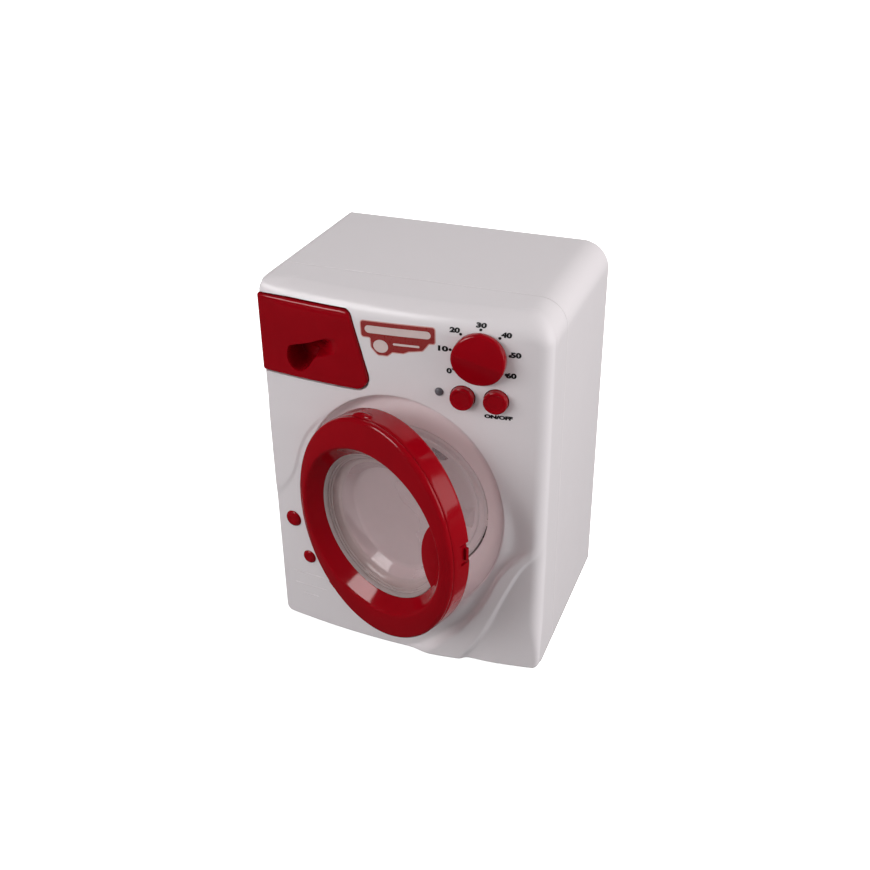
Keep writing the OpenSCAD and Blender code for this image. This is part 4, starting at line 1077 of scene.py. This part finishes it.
def build_dial():
    """The timer dial, a low roof that falls away on both sides of its ridge."""
    ridge, top = math.radians(164.5), 7.0
    r_out = size("dial_radius")
    turns = [2 * math.pi * i / 120 for i in range(120)]

    def roof(r, a):
        off = abs(r * math.sin(a - ridge))
        return top - 0.235 * (math.sqrt(off * off + 0.5) - 0.7) - 0.3 * (r / r_out) ** 4

    def ring(r, height):
        return [Vector((r * math.cos(a), -height(a), r * math.sin(a))) for a in turns]

    rings = [ring(r_out - 0.6, lambda a: 0.35), ring(r_out - 0.1, lambda a: 0.45), ring(r_out, lambda a: 0.9),
             ring(r_out - 0.1, lambda a: roof(r_out, a) - 1.2)]
    for inset, drop in ((0.2, 0.75), (0.45, 0.35), (0.85, 0.1), (1.3, 0.0)):
        rings.append(ring(r_out - inset, lambda a, i=inset, d=drop: roof(r_out - i, a) - d))
    for r in (12.0, 11, 10, 9, 8, 7, 6, 5, 4, 3, 2.2, 1.5, 0.9, 0.4):
        rings.append(ring(r, lambda a, q=r: roof(q, a)))
    knob = skin(rings, cap_first=True, cap_last=True)
    piece(moved(knob, on_panel(DIAL_X, DIAL_Z)), "dial", "timer", red_gloss(), ["timer_knob"])


def build_buttons():
    """The two dished push buttons and the lamp beside them."""
    r, stem_r, collar_r = size("button_radius"), 2.4, size("button_radius") + 1.2
    face = [(0, -3.35), (2.5, -3.32), (4.1, -3.18), (4.5, -3.2), (4.9, -3.45), (5.3, -3.6), (5.7, -3.55),
            (6.05, -3.3), (r - 0.08, -2.9), (r, -2.4)]
    back = [(r, 2.2), (collar_r, 2.5), (collar_r, 3.8), (stem_r, 3.8), (stem_r, 6.35), (0, 6.35)]
    for name, (x, z) in BUTTONS.items():
        button, cap = name + "_button", moved(lathe(face + back, 72), on_panel(x, z))
        piece(cap, name + "_cap", button, red_gloss(), [button])
    lens = [(0, -1.3), (0.8, -1.2), (1.5, -0.85), (2.0, -0.3), (2.25, 0.5), (2.3, 1.2), (2.3, 5.9), (0, 5.9)]
    grey = finish("lamp_grey", (0.13, 0.12, 0.135), 0.12, cloud=0.05, cloud_size=3, peel=0.004)
    piece(moved(lathe(lens, 40), on_panel(*LAMP)), "lamp", "case", grey, ["signal_led"])


def build_caps():
    """The two domed red caps low on the left."""
    dome = ((0, 0.78), (0.2, 0.82), (0.38, 0.98), (0.5, 1), (0.7, 0.86), (0.88, 0.56), (0.97, 0.25))
    for name, (x, z, r) in CAPS.items():
        rise = 1.9 * r / 5.2
        stem = [(r, -0.1), (r - 0.1, -0.05), (2.6, -0.05), (2.6, 2.3), (3.8, 2.35), (3.8, 3.7), (0, 3.7)]
        cap = lathe([(r * out, -rise * up) for out, up in dome] + stem, 56)
        cap = moved(cap, on_front(x, z))
        piece(cap, name + "_red_cap", "case", red_gloss(), [name + "_cap"])


# ---- print and label on the front ----


def sliced(bm, place, across):
    """The same mesh with its faces cut along a plane, so that it can bend there."""
    whole = bm.verts[:] + bm.edges[:] + bm.faces[:]
    bmesh.ops.bisect_plane(bm, geom=whole, dist=1e-4, plane_co=place, plane_no=across)
    return bm


def conform(bm, rise, thick):
    """Lays a flat mesh drawn in X and Z on the bowed front: its Y from 0 to 1 becomes its thickness. Where
    the brow falls back, the mesh slides down, as print laid on from a little above does."""
    slide, step = 0.54, 0.6
    top = max(v.co.z for v in bm.verts)
    z = CASE_H - BROW_R
    while z < top:
        sliced(bm, (0, 0, z), (0, 0, 1))
        z += step
    for vert in bm.verts:
        x, flat_z = vert.co.x, vert.co.z
        for _ in range(12):
            vert.co.z = flat_z - slide * fallen(x, vert.co.z)
        skin_y = front_y(x) + fallen(x, vert.co.z) - relief(x, vert.co.z)
        vert.co.y = skin_y - rise - thick * vert.co.y
    return bm


def lettering(words, x, z, width, height, weight=0.04):
    """Bold figures as a mesh, centred at x and z and fitted to a width and a height."""
    curve = bpy.data.curves.new("figures", "FONT")
    curve.body, curve.align_x, curve.offset, curve.resolution_u = words, "CENTER", weight, 5
    holder = bpy.data.objects.new("figures", curve)
    bpy.context.scene.collection.objects.link(holder)
    mesh = bpy.data.meshes.new_from_object(holder.evaluated_get(bpy.context.evaluated_depsgraph_get()))
    bpy.data.objects.remove(holder)
    bpy.data.curves.remove(curve)
    bm = bmesh.new()
    bm.from_mesh(mesh)
    bpy.data.meshes.remove(mesh)
    bmesh.ops.remove_doubles(bm, verts=bm.verts, dist=1e-5)
    xs, ys = [v.co.x for v in bm.verts], [v.co.y for v in bm.verts]
    sx, sy = width / (max(xs) - min(xs)), height / (max(ys) - min(ys))
    mx, my = (max(xs) + min(xs)) / 2, (max(ys) + min(ys)) / 2
    for vert in bm.verts:
        vert.co = Vector((x + (vert.co.x - mx) * sx, 0, z + (vert.co.y - my) * sy))
    raised = bmesh.ops.extrude_face_region(bm, geom=list(bm.faces))["geom"]
    bmesh.ops.translate(bm, vec=(0, 1, 0), verts=[g for g in raised if isinstance(g, bmesh.types.BMVert)])
    outward(bm)
    return bm


# Where each number from 0 to 60 sits beside its place on the circle round the dial, as (x, height).
NUMBER_SHIFTS = ((0.9, 0), (-0.2, -0.3), (-0.9, 0), (0, 0), (0.9, 0), (-0.6, 0.2), (-0.6, 1.0))
FIRST_MARK, MARK_STEP = 209, 39.7


def build_print():
    """The numbers and dots round the dial, and the marking under the right button."""
    height, marks = size("figure_height"), []
    for i, (dx, dz) in enumerate(NUMBER_SHIFTS):
        a = math.radians(FIRST_MARK - MARK_STEP * i)
        c, s = math.cos(a), math.sin(a)
        x, z = DIAL_X + 19.2 * c + dx, DIAL_Z + 18.4 * s + dz
        marks.append(lettering(str(10 * i), x, z, 2.9 if i == 0 else 5.4, height, 0.055))
        marks.append(moved(rod(0.78, 0, 1, 20), at(DIAL_X + 15.6 * c, 0, DIAL_Z + 15.8 * s)))
    marks.append(lettering("ON/OFF", 55.6, 164.5, 14.8, 2.3, 0.07))
    piece(conform(joined(*marks), 0.05, 0.06), "dial_print", "case", print_ink())


# The label's corners as (x, height, fillet), and how far it is turned, in degrees.
LABEL_CORNERS = [(-19.0, 210.4, 2.0), (22.7, 210.4, 2.0), (22.4, 200.6, 1.6), (19.0, 200.6, 0.6),
                 (15.4, 196.2, 2.2), (7.6, 195.0, 1.5), (4.6, 193.6, 1.2), (-1.5, 193.6, 1.2),
                 (-4.4, 191.2, 1.8), (-10.2, 191.2, 2.6), (-13.9, 195.4, 2.6), (-13.9, 200.6, 0.6),
                 (-19.0, 200.6, 1.8)]
LABEL_SLANT = 2.3


def flat(outline):
    """A thin flat piece of the label, turned to its slant and sliced so that it can follow the bow."""
    bm = prism(outline, 0, 1)
    bmesh.ops.triangulate(bm, faces=bm.faces)
    turn = Matrix.Rotation(-math.radians(LABEL_SLANT), 3, "Y")
    bmesh.ops.rotate(bm, cent=(2.0, 0, 205.0), matrix=turn, verts=bm.verts)
    for k in range(22):
        sliced(bm, (-19.1 + 2.0 * k, 0, 0), (1, 0, 0))
    return bm


def oval(x, z, rx, rz):
    """A flat oval."""
    return flat([(x + rx * c, z + rz * s) for c, s in spokes(48)])


def bar(x0, x1, z0, z1):
    """A flat bar with round ends."""
    r = (z1 - z0) / 2.01
    return flat(rounded([(x0, z1), (x1, z1), (x1, z0), (x0, z0)], [r] * 4))


def rounded(corners, radii, steps=6):
    """An outline through corners rounded by fillets."""
    out = []
    n = len(corners)
    for i in range(n):
        p, q, s = Vector(corners[i - 1]), Vector(corners[i]), Vector(corners[(i + 1) % n])
        a, b = (p - q).normalized(), (s - q).normalized()
        half = a.angle(b) / 2
        cut = radii[i] / math.tan(half)
        start, end = q + a * cut, q + b * cut
        centre = q + (a + b).normalized() * (radii[i] / math.sin(half))
        u, v = start - centre, end - centre
        whole = u.angle(v)
        for k in range(steps + 1):
            t = k / steps
            w = (u * math.sin((1 - t) * whole) + v * math.sin(t * whole)) / math.sin(whole)
            out.append(tuple(centre + w))
    return out


def build_label():
    """The plain label: a pale border, a red field, two bars and an oval."""
    outline = rounded([(x, z) for x, z, r in LABEL_CORNERS], [r for x, z, r in LABEL_CORNERS])
    inner, line = [], 0.55
    for i, (x, z) in enumerate(outline):
        before, after = Vector(outline[i - 1]), Vector(outline[(i + 1) % len(outline)])
        run = (after - before).normalized()
        inner.append((x + run.y * line, z - run.x * line))
    border = finish("label_border_ink", (0.62, 0.30, 0.28), 0.35, cloud=0.05, cloud_size=4, peel=0.004)
    field = finish("label_field_ink", (0.30, 0.03, 0.028), 0.3, cloud=0.06, cloud_size=5, peel=0.004)
    pale = finish("label_pale_ink", (0.70, 0.56, 0.54), 0.35, cloud=0.03, cloud_size=4, peel=0.004)
    piece(conform(flat(outline), 0.02, 0.06), "label_border", "case", border)
    piece(conform(flat(inner), 0.07, 0.05), "label_field", "case", field)
    bands = joined(bar(-16.4, 20.0, 203.4, 207.6), bar(-1.0, 13.6, 198.0, 199.2), oval(-8.0, 196.6, 4.2, 3.6))
    piece(conform(bands, 0.11, 0.04), "label_bands", "case", pale)


# ---- carried-over nodes ----


def finish_cad_nodes():
    """Gives every carried-over node the finish of its slot."""
    # grey is the grey plastic with its faint painted glow
    red, white, grey, bright = red_gloss(), white_shell(), painted_glow_grey(), steel()
    dark = finish("dark_plastic", (0.035, 0.035, 0.04), 0.4, cloud=0.1, peel=0.02)
    board = finish("board_laminate", (0.02, 0.12, 0.05), 0.35, cloud=0.12, cloud_size=6, peel=0.01)
    brass = finish("gear_brass", (0.75, 0.55, 0.24), 0.3, cloud=0.08, cloud_size=4, peel=0.008, Metallic=1.0)
    bronze = finish("bush_bronze", (0.6, 0.42, 0.2), 0.35, cloud=0.1, cloud_size=4, peel=0.01, Metallic=1.0)
    wrap = finish("cell_wrap", (0.06, 0.07, 0.09), 0.3, cloud=0.1, cloud_size=10, peel=0.006)
    cone = finish("speaker_paper", (0.03, 0.03, 0.032), 0.8, cloud=0.2, cloud_size=3, peel=0.04,
                  peel_size=0.6)
    gear = finish("gear_plastic", (0.72, 0.69, 0.62), 0.35, cloud=0.03, peel=0.01)
    by_slot = {
        "white_plastic": white, "red_plastic": red, "grey_plastic": grey, "guide_plastic": grey,
        "timer_plastic": grey, "switch_plastic": dark, "box_plastic": dark, "gear_plastic": gear,
        "lamp_plastic": grey, "screw_steel": bright, "pin_steel": bright, "spring_steel": bright,
        "motor_steel": bright, "bush_bronze": bronze, "pinion_brass": brass, "board_laminate": board,
        "cell_wrap": wrap, "speaker_cone": cone, "clear_window": clear_plastic(),
    }
    slots = {item["node"]: item["material_slot"] for item in frame["record"]["subparts"]}
    for name, obj in frame["nodes"].items():
        chosen = by_slot.get(slots.get(name, "grey_plastic"), grey)
        if not obj.material_slots:
            obj.data.materials.append(chosen)
        for slot in obj.material_slots:
            slot.material = chosen


# ---- studio ----


def soft_light(name, place, aim, side, power, stretch=None, gloss=True, body=True):
    """A soft panel of light. It can be kept out of reflections, or out of the plain shading."""
    lamp = bpy.data.lights.new(name, "AREA")
    lamp.energy, lamp.size = power, side
    if stretch:
        lamp.shape, lamp.size_y = "RECTANGLE", stretch
    obj = bpy.data.objects.new(name, lamp)
    bpy.context.scene.collection.objects.link(obj)
    obj.location = place
    obj.rotation_euler = (Vector(aim) - Vector(place)).to_track_quat("-Z", "Y").to_euler()
    obj.visible_glossy, obj.visible_diffuse = gloss, body


def by_ray(tree, seen, bounced, mirrored):
    """One shader for what the camera sees, one for light that bounces off, and one for reflections."""
    rays = node(tree, "ShaderNodeLightPath")
    calm, pick = node(tree, "ShaderNodeMixShader"), node(tree, "ShaderNodeMixShader")
    tree.links.new(rays.outputs["Is Glossy Ray"], calm.inputs["Fac"])
    tree.links.new(bounced, calm.inputs[1])
    tree.links.new(mirrored, calm.inputs[2])
    tree.links.new(rays.outputs["Is Camera Ray"], pick.inputs["Fac"])
    tree.links.new(calm.outputs["Shader"], pick.inputs[1])
    tree.links.new(seen, pick.inputs[2])
    return pick.outputs["Shader"]


def place_camera():
    """The camera, from its place and the directions of its right and upper side."""
    camera = bpy.data.cameras.new("camera")
    camera.lens, camera.sensor_width, camera.clip_start = 46.966, 36.0, 0.01
    eye = bpy.data.objects.new("camera", camera)
    bpy.context.scene.collection.objects.link(eye)
    right = Vector((0.93364559, 0.35806465, -0.00977857))
    up = Vector((-0.16990553, 0.46672755, 0.86792713))
    turn = Matrix((right, up, right.cross(up))).transposed().to_4x4()
    eye.matrix_world = Matrix.Translation((0.2106, -0.5505, 0.4466)) @ turn
    bpy.context.scene.camera = eye


def lay_floor():
    """A wide pale floor just under the feet."""
    bm = bmesh.new()
    bmesh.ops.create_grid(bm, x_segments=8, y_segments=8, size=6.0)
    mesh = bpy.data.meshes.new("floor")
    bm.to_mesh(mesh)
    bm.free()
    floor = bpy.data.objects.new("floor", mesh)
    bpy.context.scene.collection.objects.link(floor)
    floor.location.z = -0.0003
    paper = finish("pale_floor", (0.92, 0.92, 0.92), 0.7, cloud=0.004, cloud_size=400, peel=0.01,
                   Specular_IOR_Level=0.1, Emission_Color=(1, 1, 1, 1), Emission_Strength=0.75)
    tree = paper.node_tree
    dim = node(tree, "ShaderNodeBsdfDiffuse", in_Color=(0.22, 0.22, 0.225, 1))
    dark = node(tree, "ShaderNodeBsdfDiffuse", in_Color=(0.06, 0.06, 0.06, 1))
    seen = tree.nodes["Principled BSDF"].outputs["BSDF"]
    both = by_ray(tree, seen, dim.outputs["BSDF"], dark.outputs["BSDF"])
    tree.links.new(both, tree.nodes["Material Output"].inputs["Surface"])
    mesh.materials.append(paper)


def light_world():
    """A white surround that lights the shadows a little and hardly shows in reflections."""
    world = bpy.data.worlds.new("studio")
    bpy.context.scene.world = world
    world.use_nodes = True
    tree = world.node_tree
    backdrop = tree.nodes["Background"]
    backdrop.inputs["Color"].default_value = (1, 1, 1, 1)
    backdrop.inputs["Strength"].default_value = 1.1
    ambient = node(tree, "ShaderNodeBackground", in_Color=(1, 1, 1, 1), in_Strength=0.40)
    dark = node(tree, "ShaderNodeBackground", in_Color=(1, 1, 1, 1), in_Strength=0.03)
    seen, bounced, mirrored = (made.outputs["Background"] for made in (backdrop, ambient, dark))
    tree.links.new(by_ray(tree, seen, bounced, mirrored), tree.nodes["World Output"].inputs["Surface"])


def build_stage():
    """The camera, the floor, the surround and the five soft lights."""
    place_camera()
    lay_floor()
    light_world()
    body = (0, 0, 0.1)
    soft_light("key", (-0.88, -1.04, 0.64), body, 1.05, 10.4, stretch=0.6, gloss=False)
    soft_light("glint", (-0.62, -0.80, 1.12), (0, -0.1, 0.06), 0.75, 7.0, stretch=0.45, body=False)
    soft_light("side", (1.75, 0.2, 0.5), body, 1.6, 36, gloss=False)
    soft_light("sheen", (1.75, 0.2, 0.65), body, 0.9, 3.5, body=False)
    soft_light("back", (-0.3, 1.7, 0.6), body, 1.4, 16, gloss=False)
    bpy.context.scene.view_settings.view_transform = "Standard"


# ---- the add-on ----


def colour_prop(name, description, default):
    """A colour on the panel."""
    return bpy.props.FloatVectorProperty(name=name, description=description, subtype="COLOR", size=3, min=0,
                                         max=1, default=default)


class WasherFinishes(bpy.types.PropertyGroup):
    case: colour_prop("Case", "Colour of the white case shells", (0.79, 0.74, 0.757))
    red: colour_prop("Red", "Colour of the door, drawer and controls", (0.30, 0.001, 0.006))


def length_prop(name, description, millimetres):
    """A length on the panel, given in millimetres and kept in metres."""
    return bpy.props.FloatProperty(name=name, description=description, unit="LENGTH", min=0.0001, max=1.0,
                                   precision=4, default=millimetres * MM)


class WasherSizes(bpy.types.PropertyGroup):
    ring_width: length_prop("Door Width", "Width of the oval door ring", 112.6)
    ring_height: length_prop("Door Height", "Height of the oval door ring", 134.4)
    ring_depth: length_prop("Door Depth", "Depth of the door from its lip to its back", 16.8)
    window_radius: length_prop("Window Radius", "Radius of the round hole that holds the window", 43.2)
    dial_radius: length_prop("Dial Radius", "Radius of the timer dial", 14.2)
    button_radius: length_prop("Button Radius", "Radius of the two push buttons", 6.4)
    figure_height: length_prop("Figure Height", "Height of the numbers round the dial", 3.1)


class WASHER_OT_stage(bpy.types.Operator):
    """Set up the camera, the floor and the soft lights"""

    bl_idname = "washer.stage"
    bl_label = "Studio"
    bl_options = {"REGISTER", "UNDO"}

    def execute(self, context):
        build_stage()
        return {"FINISHED"}


class WASHER_OT_front(bpy.types.Operator):
    """Build the front half of the case with its recess and ribbon"""

    bl_idname = "washer.front_shell"
    bl_label = "Front Shell"
    bl_options = {"REGISTER", "UNDO"}

    def execute(self, context):
        build_front_shell()
        return {"FINISHED"}


class WASHER_OT_rear(bpy.types.Operator):
    """Build the rear half of the case with its openings"""

    bl_idname = "washer.rear_housing"
    bl_label = "Rear Housing"
    bl_options = {"REGISTER", "UNDO"}

    def execute(self, context):
        build_rear_housing()
        return {"FINISHED"}


class WASHER_OT_cover(bpy.types.Operator):
    """Build the battery cover in the back"""

    bl_idname = "washer.battery_cover"
    bl_label = "Battery Cover"
    bl_options = {"REGISTER", "UNDO"}

    def execute(self, context):
        build_battery_cover()
        return {"FINISHED"}


class WASHER_OT_door(bpy.types.Operator):
    """Build the two red rings of the door"""

    bl_idname = "washer.door"
    bl_label = "Door"
    bl_options = {"REGISTER", "UNDO"}

    def execute(self, context):
        build_door()
        return {"FINISHED"}


class WASHER_OT_window(bpy.types.Operator):
    """Build the clear bowl of the door"""

    bl_idname = "washer.window"
    bl_label = "Window"
    bl_options = {"REGISTER", "UNDO"}

    def execute(self, context):
        build_window()
        return {"FINISHED"}


class WASHER_OT_drawer(bpy.types.Operator):
    """Build the drawer front with its finger pull"""

    bl_idname = "washer.drawer_front"
    bl_label = "Drawer Front"
    bl_options = {"REGISTER", "UNDO"}

    def execute(self, context):
        build_drawer_front()
        return {"FINISHED"}


class WASHER_OT_dial(bpy.types.Operator):
    """Build the timer dial"""

    bl_idname = "washer.dial"
    bl_label = "Dial"
    bl_options = {"REGISTER", "UNDO"}

    def execute(self, context):
        build_dial()
        return {"FINISHED"}


class WASHER_OT_buttons(bpy.types.Operator):
    """Build the push buttons and the lamp"""

    bl_idname = "washer.buttons"
    bl_label = "Buttons and Lamp"
    bl_options = {"REGISTER", "UNDO"}

    def execute(self, context):
        build_buttons()
        return {"FINISHED"}


class WASHER_OT_caps(bpy.types.Operator):
    """Build the two red caps low on the left"""

    bl_idname = "washer.caps"
    bl_label = "Caps"
    bl_options = {"REGISTER", "UNDO"}

    def execute(self, context):
        build_caps()
        return {"FINISHED"}


class WASHER_OT_print(bpy.types.Operator):
    """Print the dial's numbers and the switch marking"""

    bl_idname = "washer.front_print"
    bl_label = "Numbers"
    bl_options = {"REGISTER", "UNDO"}

    def execute(self, context):
        build_print()
        return {"FINISHED"}


class WASHER_OT_label(bpy.types.Operator):
    """Lay the plain label on the front"""

    bl_idname = "washer.label"
    bl_label = "Label"
    bl_options = {"REGISTER", "UNDO"}

    def execute(self, context):
        build_label()
        return {"FINISHED"}


class WASHER_OT_cad(bpy.types.Operator):
    """Give every carried-over node its finish"""

    bl_idname = "washer.carried_nodes"
    bl_label = "Inner Pieces"
    bl_options = {"REGISTER", "UNDO"}

    def execute(self, context):
        finish_cad_nodes()
        return {"FINISHED"}


STEPS = [WASHER_OT_stage, WASHER_OT_cad, WASHER_OT_front, WASHER_OT_rear, WASHER_OT_cover, WASHER_OT_door,
         WASHER_OT_window, WASHER_OT_drawer, WASHER_OT_dial, WASHER_OT_buttons, WASHER_OT_caps,
         WASHER_OT_print, WASHER_OT_label]


class WASHER_PT_panel(bpy.types.Panel):
    """Sizes, colours and build steps of the toy washing machine"""

    bl_idname = "WASHER_PT_panel"
    bl_label = "Toy Washing Machine"
    bl_space_type = "VIEW_3D"
    bl_region_type = "UI"
    bl_category = "Washer"

    def draw(self, context):
        column = self.layout.column()
        for group in (context.scene.washer_sizes, context.scene.washer_finishes):
            for name in group.__annotations__:
                column.prop(group, name)
        for step in STEPS:
            column.operator(step.bl_idname)


CLASSES = [WasherSizes, WasherFinishes] + STEPS + [WASHER_PT_panel]


def register():
    for cls in CLASSES:
        bpy.utils.register_class(cls)
    bpy.types.Scene.washer_sizes = bpy.props.PointerProperty(type=WasherSizes)
    bpy.types.Scene.washer_finishes = bpy.props.PointerProperty(type=WasherFinishes)


def unregister():
    del bpy.types.Scene.washer_finishes
    del bpy.types.Scene.washer_sizes
    for cls in reversed(CLASSES):
        bpy.utils.unregister_class(cls)


def main():
    register()
    for step in STEPS:
        group, name = step.bl_idname.split(".")
        result = getattr(getattr(bpy.ops, group), name)()
        if "FINISHED" not in result:
            raise RuntimeError(step.bl_label + " was not built")


if __name__ == "__main__":
    main()
